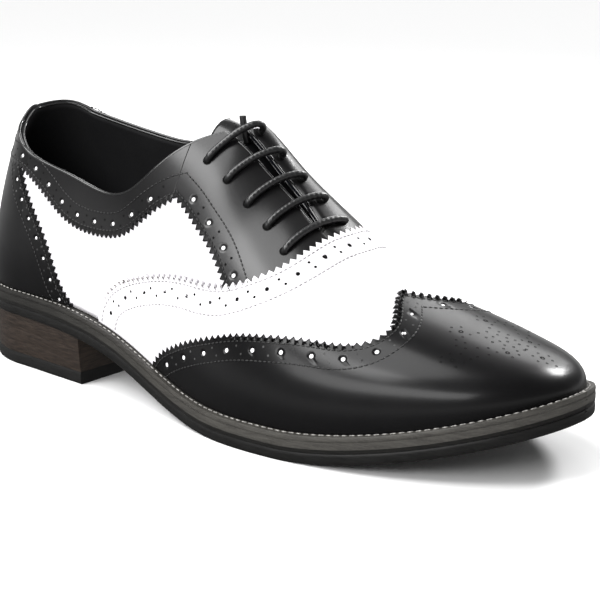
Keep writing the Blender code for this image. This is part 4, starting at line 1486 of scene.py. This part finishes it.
@dataclass
class Overlays:
    """The laid-on leathers: counter, collar, facings, vamp and wingtip."""

    spacing: float = 0.53 * MM
    small_spacing: float = 0.47 * MM
    collar_end: float = 0.437
    collar_pattern_end: float = 0.47
    collar_rows: tuple[float, float] = (2.3 * MM, 9.6 * MM)
    facing_rows: tuple[float, float] = (2.3 * MM, 10.4 * MM)
    facing_run_on: float = 14.0 * MM
    facing_rise: float = 0.416
    facing_low: float = 0.662
    under_wing: float = 3.0 * MM
    last: Last = field(default_factory=lambda: LAST)

    def wing_near(self) -> Array:
        """The wingtip's edge, from the outer foot over the peak to the inner foot."""
        first = edge_from(WING_OUTER, self.spacing)
        second = edge_from(WING_INNER, self.spacing)
        return np.concatenate([first, second[1:]])

    def foot_round_toe(self, count: int, outer: float, inner: float) -> Array:
        """The foot line from one side round the toe to the other, with a point for each point of an edge.

        Args:
            count: how many points.
            outer: share of the length where it begins on the outer side.
            inner: share of the length where it ends on the inner side.

        Returns:
            Rows of station and turn: stations by a sine up to the tip, and turns that change sides there.
        """
        beside, at_tip = 0.42, 0.16
        share = np.linspace(0.0, 1.0, count)
        start = np.where(share < 0.5, outer, inner) * self.last.length
        run = np.where(share < 0.5, share, 1 - share)
        slowing = np.sin(np.clip(run / beside, 0, 1) * math.pi / 2)
        turn = np.clip((share - beside) / at_tip, 0.0, 1.0) * 2.0
        return np.stack([start + (self.last.tip - start) * slowing, turn], axis=1)

    def wingtip(self) -> None:
        """The winged toe cap."""
        near = self.wing_near()
        Panel(
            "wingtip_leather",
            near,
            self.foot_round_toe(len(near), WING_OUTER[0][0], WING_INNER[-1][0]),
            Finish.BLACK,
            "black_leather",
            ("wingtip",),
            1.25 * MM,
            base=0.35 * MM,
            coarse_rows=46,
            far_dense=True,
            holes=Perforation(pitch=12.9 * MM, row=5.6 * MM, start=8.0 * MM, end=8.0 * MM),
            stitch_rows=(2.3 * MM, 9.6 * MM),
        ).build()
        self.rosette()

    def rosette(self) -> None:
        """The punched rosette on the toe."""
        half = np.array(ROSETTE)
        table = np.concatenate([half * (1, -1, 1), half[half[:, 1] > 0]])
        point, normal = self.last.frame_at(table[:, 0] * self.last.length, ROSETTE_AXIS + table[:, 1])
        dark = discs(point, normal, table[:, 2] * MM, 1.64 * MM, 0.05 * MM)
        joined("rosette_holes", [dark], Finish.HOLE_DARK, "black_leather")

    def vamp(self) -> None:
        """The white band that ends under the wingtip."""
        near = edge_from(VAMP_EDGE, self.spacing)
        wing = even(self.wing_near(), 0.25 * MM)
        far = read_curve(wing, np.linspace(0.0, 1.0, len(near)))
        far[:, 0] += self.under_wing
        Panel(
            "vamp_leather",
            near,
            far,
            Finish.WHITE,
            "white_leather",
            ("vamp",),
            0.95 * MM,
            base=0.30 * MM,
            holes=Perforation(13.2 * MM, 6.6 * MM, small=0.6 * MM, start=7.0 * MM, end=7.0 * MM),
            hole_finish=Finish.HOLE_DARK,
            small_finish=Finish.HOLE_DARK,
            stitch_rows=(2.4 * MM, 11.8 * MM),
            # The grey of the white thread paints the seams' shade
            stitch_finish=Finish.THREAD_WHITE_SHADED,
            # The rim's dark grey is the raw edge together with painted shadow lines along the teeth
            rim_finish=Finish.WHITE_EDGE_AND_SHADOW,
            fine_band=10.0 * MM,
        ).build()

    def collar_curve(self, side: Side, end: float) -> Array:
        """The collar's lower edge on one side, from the back to a share of the length."""
        stations = np.linspace(self.last.back_x, end * self.last.length, 900)
        return even(np.stack([stations, self.last.collar_edge(stations, side)], axis=1), self.small_spacing)

    def facing_curve(self, side: Side, ahead: float = 0.0) -> Array:
        """The rear edge of an eyelet piece, run straight on past its corner by the distance ahead."""
        rows = FACING_REAR_OUTER if side is Side.OUTER else FACING_REAR_INNER
        curve = edge_from(rows, self.spacing)
        if ahead == 0.0:
            return curve
        slope = (curve[0] - curve[8]) / 8
        count = int(ahead / self.spacing)
        before = curve[0] + slope * np.arange(count, 0, -1)[:, None]
        return np.concatenate([before, curve])

    def facings(self) -> None:
        """The eyelet pieces on both sides of the throat."""
        last = self.last
        for side, ends, node in (
            (Side.OUTER, FACING_END_OUTER, "facing_outer"),
            (Side.INNER, FACING_END_INNER, "facing_inner"),
        ):
            near = self.facing_curve(side)
            corner = near[0]
            rise = np.array([self.facing_rise * last.length, 0.0])
            rise[1] = last.upper_edge(rise[:1], side)[0]
            up = corner + (rise - corner) * np.linspace(0.0, 1.0, 14)[:, None]
            top = np.linspace(rise[0], last.throat_top, 40)[1:]
            line = np.concatenate([up, np.stack([top, last.upper_edge(top, side)], axis=1)])
            stations = np.linspace(last.throat_top, self.facing_low * last.length, len(near))
            far = np.stack([stations, last.upper_edge(stations, side)], axis=1)
            low = np.array(ends) * (last.length, 1.0)
            low[0], low[-1] = near[-1], far[-1]
            Panel(
                f"{node}_leather",
                near,
                far,
                Finish.FACING,
                "black_leather",
                (node,),
                0.80 * MM,
                top_line=line,
                low_line=low,
                pattern_edge=self.facing_curve(side, self.facing_run_on),
                neighbour=self.collar_curve(side, self.collar_pattern_end),
                neighbour_rows=self.collar_rows,
                holes=Perforation(13.3 * MM, 5.4 * MM, small=0.55 * MM, start=26.9 * MM, end=3.0 * MM),
                # Small holes: painted shade inside the narrow holes
                small_finish=Finish.HOLE_DARK,
                stitch_rows=self.facing_rows,
                stitch_from=(0.5 * MM, 0.5 * MM),
                stitch_lift=0.14 * MM,
                fine_band=11.0 * MM,
                fine_rows=22,
                coarse_rows=18,
            ).build()

    def collar(self) -> None:
        """The band along the topline, in two halves that meet at the back."""
        last = self.last
        for side in Side:
            near = self.collar_curve(side, self.collar_end)
            far = np.stack([near[:, 0], last.upper_edge(near[:, 0], side)], axis=1)
            Panel(
                f"collar_{side.name.lower()}_leather",
                near,
                far,
                Finish.FACING,
                "black_leather",
                ("collar",),
                0.82 * MM,
                pattern_edge=self.collar_curve(side, self.collar_pattern_end),
                neighbour=self.facing_curve(side, self.facing_run_on),
                neighbour_rows=self.facing_rows,
                neighbour_sign=-1.0,
                holes=Perforation(
                    11.9 * MM, 5.2 * MM, 1.1 * MM, 0.5 * MM, start=9.3 * MM, end=13.0 * MM
                ),
                # Small holes: painted shade inside the narrow holes
                small_finish=Finish.HOLE_DARK,
                stitch_rows=self.collar_rows,
                coarse_rows=14,
            ).build()

    def counter(self) -> None:
        """The heel counter, in two halves that meet at the back seam, and the strip over the seam."""
        last = self.last
        for side, rows in ((Side.OUTER, COUNTER_OUTER), (Side.INNER, COUNTER_INNER)):
            near = edge_from(rows, self.spacing)
            top = last.collar_edge(np.array([last.back_x]), side)[0] - 0.04 * side.value
            turn = near[:, 1] + (top - near[-1, 1]) * np.linspace(0.0, 1.0, len(near)) ** 2
            far = np.stack([np.full(len(near), last.back_x), turn], axis=1)
            Panel(
                f"counter_{side.name.lower()}_leather",
                near,
                far,
                Finish.BLACK,
                "black_leather",
                ("counter",),
                0.70 * MM,
                holes=Perforation(10.0 * MM, 4.8 * MM, 0.95 * MM, start=7.0 * MM),
                stitch_rows=(2.3 * MM, 8.6 * MM),
                base=0.05 * MM,
            ).build()
        self.back_strap()

    def back_strap(self) -> None:
        """The pointed strap over the top of the back seam."""
        last = self.last
        rows, columns = 40, 25
        down = np.linspace(0.0, 1.0, rows)
        across = np.linspace(-1.0, 1.0, columns)
        half = 10.0 * MM * (1.0 - down) ** 0.8 + 0.4 * MM
        top = last.upper_edge(np.array([last.back_x]), Side.OUTER)[0] - 0.030
        low = top - 0.22
        v = top + (low - top) * down
        station = last.back_x + np.abs(across)[None, :] * half[:, None]
        turn = np.where(across[None, :] < 0, v[:, None], 2.0 - v[:, None])
        place = last.lifted(station, turn, np.full(station.shape, 1.35 * MM))
        faces = grid_quads(rows, columns, 0, True)
        made = new_object("back_strap", place, faces, [Finish.BLACK.material()])
        solidify(made, 0.8 * MM)
        own(made, "black_leather")

    def build(self) -> None:
        """Builds the panels from the back to the toe."""
        self.counter()
        self.collar()
        self.facings()
        self.vamp()
        self.wingtip()


@dataclass
class Tongue:
    """The tongue under the throat, with its rounded top."""

    top: float = 0.1375
    end: float = 0.214
    half_width: float = 23.0 * MM
    thickness: float = 1.9 * MM
    clear: float = 3.7 * MM
    top_round: float = 3.2 * MM
    top_sinks: float = 0.8 * MM
    last: Last = field(default_factory=lambda: LAST)

    def build(self) -> None:
        """A sheet that follows the last below the wall, wider in the middle, with a round top edge."""
        rows, columns = 60, 41
        share = np.linspace(0.0, 1.0, rows)[:, None]
        across = np.linspace(-1.0, 1.0, columns)[None, :]
        bow = self.top_round * (across**2) * (1.0 - share) ** 2
        stations = self.top + (self.end - self.top) * share + bow
        half = self.half_width * np.clip(0.88 + 2.4 * share, 0.0, 1.0) * (1.0 - 0.25 * share)
        y = self.last.throat_middle(stations) + half * across
        turn = self.last.turn_at_side(stations, y)
        lift = -(self.clear + self.top_sinks * (1.0 - share) ** 2)
        place = self.last.lifted(stations, turn, lift + 0 * stations)
        made = new_object("tongue_leather", place, grid_quads(rows, columns), [Finish.TONGUE.material()])
        solidify(made, self.thickness)
        own(made, "black_leather", "tongue")


@dataclass
class Lacing:
    """Five bars of round waxed lace, each through a pair of punched eyelets.

    Attributes:
        radius: the lace's radius.
        pitch: distance between the bars along the shoe.
        first: station of the first bar.
        bars: how many bars.
        outer: distance of the first and the last outer eyelet from the throat's middle line.
        inner: the same for each inner eyelet.
        lean: how much further ahead the first and the last bar end.
        seat: height of the leather's face over the surface.
        loose: how slack each bar is, from 0 to 1.
    """

    radius: float = 1.45 * MM
    pitch: float = 0.0112
    first: float = 0.1445
    bars: int = 5
    outer: tuple[float, float] = (0.0128, 0.0170)
    inner: tuple[float, ...] = (0.0060, 0.0064, 0.0088, 0.0113, 0.0134)
    lean: tuple[float, float] = (0.0110, 0.0075)
    seat: float = 0.95 * MM
    loose: tuple[float, ...] = (1.0, 0.8, 0.35, 0.25, 0.0)
    last: Last = field(default_factory=lambda: LAST)

    def foot(self, bar: int) -> float:
        """Where a bar goes down again, as a share of the way across: nearer where the bar is pulled tight."""
        return 0.90 + 0.07 * self.loose[bar]

    def route(self, bar: int) -> tuple[Array, Array]:
        """Shares across and lifts of a bar's path: up through an eyelet, over the throat and down."""
        loose = self.loose[bar]
        foot = self.foot(bar)
        rest = self.seat + self.radius
        rows = (
            (0.000, -2.6 * MM),
            (0.000, 0.3 * MM),
            (0.030, 1.6 * MM),
            (0.100, rest - 0.2 * MM),
            (0.320 * foot, rest),
            (0.580 * foot, rest + (0.1 + 1.2 * loose) * MM),
            (0.800 * foot, rest + (0.1 + 2.7 * loose) * MM),
            (0.950 * foot, rest + (0.1 + 3.3 * loose) * MM),
            (foot + 0.050, rest - (0.4 - 2.0 * loose) * MM),
            (foot + 0.055, 0.7 * MM),
            (foot, -2.6 * MM),
        )
        table = np.array(rows)
        key = np.linspace(0.0, 1.0, len(rows))
        dense = spline(key, table, np.linspace(0.0, 1.0, 110))
        return dense[:, 0], dense[:, 1]

    def ends(self, bar: int) -> tuple[float, float, float, float]:
        """Outer and inner spread, lean and station of a bar."""
        share = bar / (self.bars - 1)
        outer, lean = (near + (far - near) * share for near, far in (self.outer, self.lean))
        return outer, self.inner[bar], lean, self.first + bar * self.pitch

    def build(self) -> None:
        """Builds the bars and the rims of the eyelets."""
        last = self.last
        middles, normals = [], []
        for bar in range(self.bars):
            outer, inner, lean, start = self.ends(bar)
            across, lift = self.route(bar)
            x = start + lean * across
            y = last.throat_middle(x) - outer + (outer + inner) * across
            path = last.lifted(x, last.turn_at_side(x, y), lift)
            points, quads = tube(path, self.radius, 14, (0.75, 0.0, -0.66))
            made = new_object(f"lace_{bar + 1}", points, quads, [Finish.LACE.material()])
            own(made, "waxed_lace", f"lace_bar_{bar + 1}")
            foot = self.foot(bar)
            ends = np.array([start, start + lean * foot])
            sides = last.throat_middle(ends) + np.array([-outer, -outer + (outer + inner) * foot])
            point, normal = last.frame_at(ends, last.turn_at_side(ends, sides))
            middles.append(point)
            normals.append(normal)
        point, normal = np.concatenate(middles), np.concatenate(normals)
        rims = discs(point, normal, np.full(len(point), 2.1 * MM), self.seat + 0.06 * MM, 0.05 * MM)
        joined("eyelet_holes", [rims], Finish.HOLE_DARK, "black_leather")
        self.stub()

    def stub(self) -> None:
        """The lace's short end, which comes out of the throat behind the first bar."""
        last = self.last
        rows = np.array(
            [
                (0.1535, 0.0012, -0.0040),
                (0.1518, 0.0018, -0.0010),
                (0.1504, 0.0025, 0.0018),
                (0.1493, 0.0031, 0.0036),
                (0.1486, 0.0036, 0.0050),
            ]
        )
        route = spline(np.arange(len(rows)), rows, np.linspace(0, len(rows) - 1, 40))
        turn = last.turn_at_side(route[:, 0], last.throat_middle(route[:, 0]) + route[:, 1])
        path = last.lifted(route[:, 0], turn, route[:, 2])
        points, quads = tube(path, self.radius, 12, (0.0, 1.0, 0.0))
        own(new_object("lace_end", points, quads, [Finish.LACE.material()]), "waxed_lace")


@dataclass(frozen=True)
class Layer:
    """One layer of the sole: heights over its base, and the profile of its edge.

    Attributes:
        low: height of its foot, over the ground if ground is True, else over the outsole's underside.
        high: height of its top, over the ground if top_ground is True.
        inset_low: how far its foot is drawn in from the sole's outline.
        inset_high: how far its top is drawn in.
        end: station where the layer ends, or 1 for the whole length.
        grooves: shares of its height that have a groove all round.
        bevel: how far its first and last edges are drawn in.
        groove: a groove's depth.
        dyed_to: share of its height that is dyed like the outsole.
        break_in: how far the edge is drawn in beside a bevel.
    """

    name: str
    low: float
    high: float
    finish: Finish
    slot: str
    node: str
    inset_low: float = 0.0
    inset_high: float = 0.0
    end: float = 1.0
    ground: bool = False
    top_ground: bool = False
    grooves: tuple[float, ...] = ()
    bevel: float = 0.45 * MM
    groove: float = 0.07 * MM
    dyed_to: float = 0.0
    break_in: float = 0.12 * MM

    def profile(self) -> list[tuple[float, float]]:
        """The edge from the layer's foot up: shares of its height, and how far it is drawn in there."""
        rows = [(0.0, self.bevel), (0.12, self.break_in)]
        for share in self.grooves:
            rows += [(share - 0.018, 0.0), (share, self.groove), (share + 0.018, 0.0)]
        if self.grooves:
            return rows + [(0.975, 0.0), (0.99, self.break_in), (1.0, self.bevel)]
        return rows + [(0.3, 0.0), (0.38, 0.0), (0.7, 0.0), (0.88, self.break_in), (1.0, self.bevel)]


@dataclass
class Sole:
    """Outsole, midsole, welt, heel stack, top piece, insole and the welt's stitches."""

    breast: float = 0.084
    sharp_degrees: float = 50.0
    last: Last = field(default_factory=lambda: LAST)

    def layers(self) -> list[Layer]:
        """The layers from the ground up."""
        return [
            Layer(
                "heel_lift", 0.0, 5.5 * MM, Finish.RUBBER, "sole_black", "heel_top_piece",
                inset_low=1.9 * MM, inset_high=1.8 * MM, end=self.breast, ground=True, top_ground=True,
            ),
            Layer(
                "heel_block", 5.6 * MM, -0.1 * MM, Finish.HEEL, "stacked_heel", "heel_stack",
                inset_low=1.8 * MM, inset_high=0.9 * MM, end=self.breast, ground=True,
                grooves=(0.30, 0.62, 0.93),
            ),
            Layer("outsole_leather", 0.0, 4.2 * MM, Finish.SOLE_BLACK, "sole_black", "outsole"),
            Layer(
                "midsole_leather", 4.4 * MM, 8.7 * MM, Finish.SOLE_GREY, "sole_edge", "midsole",
                bevel=0.15 * MM, dyed_to=0.34,
            ),
            Layer(
                "welt_leather", 8.8 * MM, 10.8 * MM, Finish.SOLE_GREY, "sole_black", "welt",
                inset_high=0.25 * MM, bevel=0.2 * MM,
            ),
        ]

    def stations(self, end: float) -> Array:
        """Stations of an outline, closer together where it turns."""
        last = self.last
        toe = 0.8 * last.length
        rows = np.concatenate(
            [
                np.linspace(last.back_x, last.round_x, 46, endpoint=False),
                np.linspace(last.round_x, toe, 130, endpoint=False),
                toe + (last.length - toe) * np.sin(np.linspace(0.0, math.pi / 2, 60)),
            ]
        )
        return np.append(rows[rows < end - 1e-5], end)

    def outline(self, stations: Array, inset: float, height: Array) -> Array:
        """The closed outline, along the outer side and back along the inner one, at its heights."""
        last = self.last
        x, axis, half = last.plan(stations, inset, inset)
        outer = np.stack([x, axis - half, height], axis=1)
        inner = np.stack([x, axis + half, height], axis=1)
        return np.concatenate([outer, inner[::-1]]) + last.shift

    def build_layer(self, layer: Layer) -> None:
        """Makes a layer: rings of its outline at the profile's insets and heights, closed by ruled faces."""
        last = self.last
        end = layer.end if layer.end < 1.0 else last.length
        stations = self.stations(end)
        x = last.plan(stations, 0.0, 0.0)[0]
        low = np.full(len(x), layer.low) if layer.ground else last.underside(x) + layer.low
        high = np.full(len(x), layer.high) if layer.top_ground else last.underside(x) + layer.high
        profile = layer.profile()
        rings = []
        for share, draw in profile:
            inset = layer.inset_low + (layer.inset_high - layer.inset_low) * share + draw
            rings.append(self.outline(stations, inset, low + (high - low) * share))
        rings = np.array(rings)
        count = rings.shape[1]
        i = np.arange(count // 2 - 1)
        floor = np.stack([i, count - 1 - i, count - 2 - i, i + 1], axis=1)
        roof = floor[:, ::-1] + (len(rings) - 1) * count
        faces = np.concatenate([ring_quads(len(rings), count), floor, roof])
        made = new_object(layer.name, rings, faces, [layer.finish.material()])
        over_dye = np.repeat(np.array([share for share, _ in profile]) - layer.dyed_to, count)
        values = made.data.attributes.new(OVER_DYE, "FLOAT", "POINT").data
        values.foreach_set("value", over_dye.astype(np.float32))
        weld(made, 1e-6, outwards=True)
        made.data.set_sharp_from_angle(angle=math.radians(self.sharp_degrees))
        own(made, layer.slot, layer.node)

    def insole(self) -> None:
        """The insole's sheet inside the upper's foot, slightly raised at its middle."""
        last = self.last
        drawn = last.welt_reach + 3.3 * MM
        end = last.length - drawn - 4.0 * MM
        stations = self.stations(end)
        x, axis, half = last.plan(stations, drawn, last.welt_reach_heel + 3.3 * MM)
        across = np.linspace(-1.0, 1.0, 15)
        y = axis[:, None] + half[:, None] * across[None, :]
        top = last.underside(x)[:, None] + last.sole_stack + last.gap + 3.0 * MM
        z = top - 0.8 * MM * (1 - across**2)[None, :]
        place = np.stack([np.broadcast_to(x[:, None], y.shape), y, z], axis=-1) + last.shift
        made = new_object("insole_sock", place, grid_quads(len(x), len(across)), [Finish.SOCK.material()])
        weld(made, 1e-6)
        solidify(made, 2.0 * MM)
        own(made, "lining", "insole")

    def welt_stitches(self) -> None:
        """The light stitches along the welt's top, from the outer heel round the toe to the inner heel."""
        last = self.last
        stations = self.stations(last.length)
        x, axis, half = last.plan(stations, 2.3 * MM, 1.6 * MM)
        height = last.underside(x) + last.sole_stack
        outer = np.stack([x, axis - half, height], axis=1)
        inner = np.stack([x, axis + half, height], axis=1)
        path = np.concatenate([outer, inner[-2::-1]]) + last.shift
        run = run_along(path)
        keep = np.concatenate([[True], np.diff(run) > 1e-7])
        path, run = path[keep], run[keep]
        along = unit(np.gradient(path, axis=0))
        side = np.cross(np.array([0.0, 0.0, 1.0]), along)
        line = SurfaceLine(np.zeros((len(path), 2)), path, along, side, np.cross(along, side), run)
        row = StitchRow(pitch=3.2 * MM, length=2.3 * MM, width=0.60 * MM, height=0.24 * MM, rings=6)
        joined("welt_stitches", [row.along(line, 0.1 * MM)], Finish.THREAD_WELT, "sole_black")

    def build(self) -> None:
        """Builds every layer, the insole and the stitches."""
        for layer in self.layers():
            self.build_layer(layer)
        self.insole()
        self.welt_stitches()


@dataclass(frozen=True)
class Studio:
    """White floor, soft lights and the photograph's camera."""

    azimuth: float = 40.55
    elevation: float = 13.87
    roll: float = -0.6
    distance: float = 0.614
    focal_pixels: float = 1462.0
    frame_pixels: float = 600.0
    centre_shift: tuple[float, float] = (-48.2, -5.9)
    target: tuple[float, float, float] = (0.154, 0.0, 0.045)
    sensor: float = 36.0
    aim: tuple[float, float, float] = (0.02, 0.0, 0.03)
    floor_reach: float = 30.0
    horizon: tuple[float, float] = (0.03, 0.16)
    room: float = 0.22

    def camera(self) -> None:
        """The camera, with its place and turn from the angles and its shift from the photograph's framing."""
        a, e, r = (math.radians(angle) for angle in (self.azimuth, self.elevation, self.roll))
        back = Vector((math.sin(a) * math.cos(e), -math.cos(a) * math.cos(e), math.sin(e)))
        right = Vector((math.cos(a), math.sin(a), 0.0))
        up = back.cross(right)
        across = math.cos(r) * right + math.sin(r) * up
        above = -math.sin(r) * right + math.cos(r) * up
        data = bpy.data.cameras.new("camera")
        data.sensor_width = self.sensor
        data.lens = self.focal_pixels / self.frame_pixels * self.sensor
        data.shift_x = -self.centre_shift[0] / self.frame_pixels
        data.shift_y = self.centre_shift[1] / self.frame_pixels
        data.clip_start = 0.01
        made = bpy.data.objects.new("camera", data)
        place = Vector(self.target) + Vector(LAST.shift) + back * self.distance
        turn = Matrix((across, above, back)).transposed().to_4x4()
        made.matrix_world = Matrix.Translation(place) @ turn
        bpy.context.scene.collection.objects.link(made)
        bpy.context.scene.camera = made

    def floor(self) -> None:
        """A large plain white floor."""
        corners = self.floor_reach * np.array([[-1, -1, 0], [1, -1, 0], [1, 1, 0], [-1, 1, 0]])
        nodes = Nodes("floor_white")
        nodes.shader.inputs["Base Color"].default_value = (0.93, 0.93, 0.93, 1.0)
        nodes.shader.inputs["Roughness"].default_value = 0.9
        nodes.shader.inputs["Specular IOR Level"].default_value = 0.1
        made = new_object("floor", corners, np.array([[0, 1, 2, 3]]), [nodes.material])
        made.visible_glossy = False

    def light(self, name: str, place: tuple, size: tuple[float, float], power: float) -> None:
        """A soft rectangular light that faces the shoe.

        Args:
            name: the light's name.
            place: its middle.
            size: its width and height.
            power: its power in watts.
        """
        data = bpy.data.lights.new(name, "AREA")
        data.shape = "RECTANGLE"
        data.size, data.size_y = size
        data.energy = power
        made = bpy.data.objects.new(name, data)
        made.location = place
        made.rotation_euler = (Vector(self.aim) - Vector(place)).to_track_quat("-Z", "Y").to_euler()
        bpy.context.scene.collection.objects.link(made)

    def sky(self, strength: float, width_degrees: float, towards: tuple[float, float, float]) -> None:
        """A very wide overhead light that whitens the whole floor alike."""
        data = bpy.data.lights.new("sky_panel", "SUN")
        data.energy = strength
        data.angle = math.radians(width_degrees)
        made = bpy.data.objects.new("sky_panel", data)
        made.rotation_euler = Vector(towards).to_track_quat("-Z", "Y").to_euler()
        bpy.context.scene.collection.objects.link(made)

    def surroundings(self) -> None:
        """A dim room that is white at floor level, like a paper sweep."""
        world = bpy.data.worlds.new("surroundings")
        world.use_nodes = True
        tree = world.node_tree
        shade = tree.nodes["Background"]
        shade.inputs["Color"].default_value = (1.0, 1.0, 1.0, 1.0)
        direction = tree.nodes.new("ShaderNodeTexCoord")
        split = tree.nodes.new("ShaderNodeSeparateXYZ")
        tree.links.new(direction.outputs["Generated"], split.inputs[0])
        height = tree.nodes.new("ShaderNodeMath")
        height.operation = "ABSOLUTE"
        tree.links.new(split.outputs["Z"], height.inputs[0])
        fade = tree.nodes.new("ShaderNodeMapRange")
        tree.links.new(height.outputs[0], fade.inputs["Value"])
        fade.inputs["From Min"].default_value = self.horizon[0]
        fade.inputs["From Max"].default_value = self.horizon[1]
        fade.inputs["To Min"].default_value = 1.0
        fade.inputs["To Max"].default_value = self.room
        tree.links.new(fade.outputs["Result"], shade.inputs["Strength"])
        bpy.context.scene.world = world

    def lights(self) -> None:
        """The dim room, the overhead light, the strip on the outer side, and the three panels."""
        self.surroundings()
        self.sky(2.95, 46.0, (0.38, 0.32, -0.87))
        self.light("side_strip", (0.05, -1.12, 0.64), (1.2, 0.30), 10.0)
        self.light("facing_panel", (-0.32, -0.80, 0.95), (0.55, 0.32), 4.5)
        self.light("toe_panel", (0.27, 0.82, 0.72), (0.24, 0.24), 9.0)
        self.light("back_panel", (-0.35, 1.00, 0.80), (1.0, 0.5), 7.5)

    def build(self) -> None:
        """Builds floor, lights and camera, and shows white as white."""
        self.camera()
        self.floor()
        self.lights()
        bpy.context.scene.view_settings.view_transform = "Standard"


def main() -> None:
    """Builds the shoe and its studio."""
    logging.basicConfig(level=logging.INFO, format="%(message)s")
    Studio().build()
    Sole().build()
    Upper().build()
    Overlays().build()
    Tongue().build()
    Lacing().build()


if __name__ == "__main__":
    main()
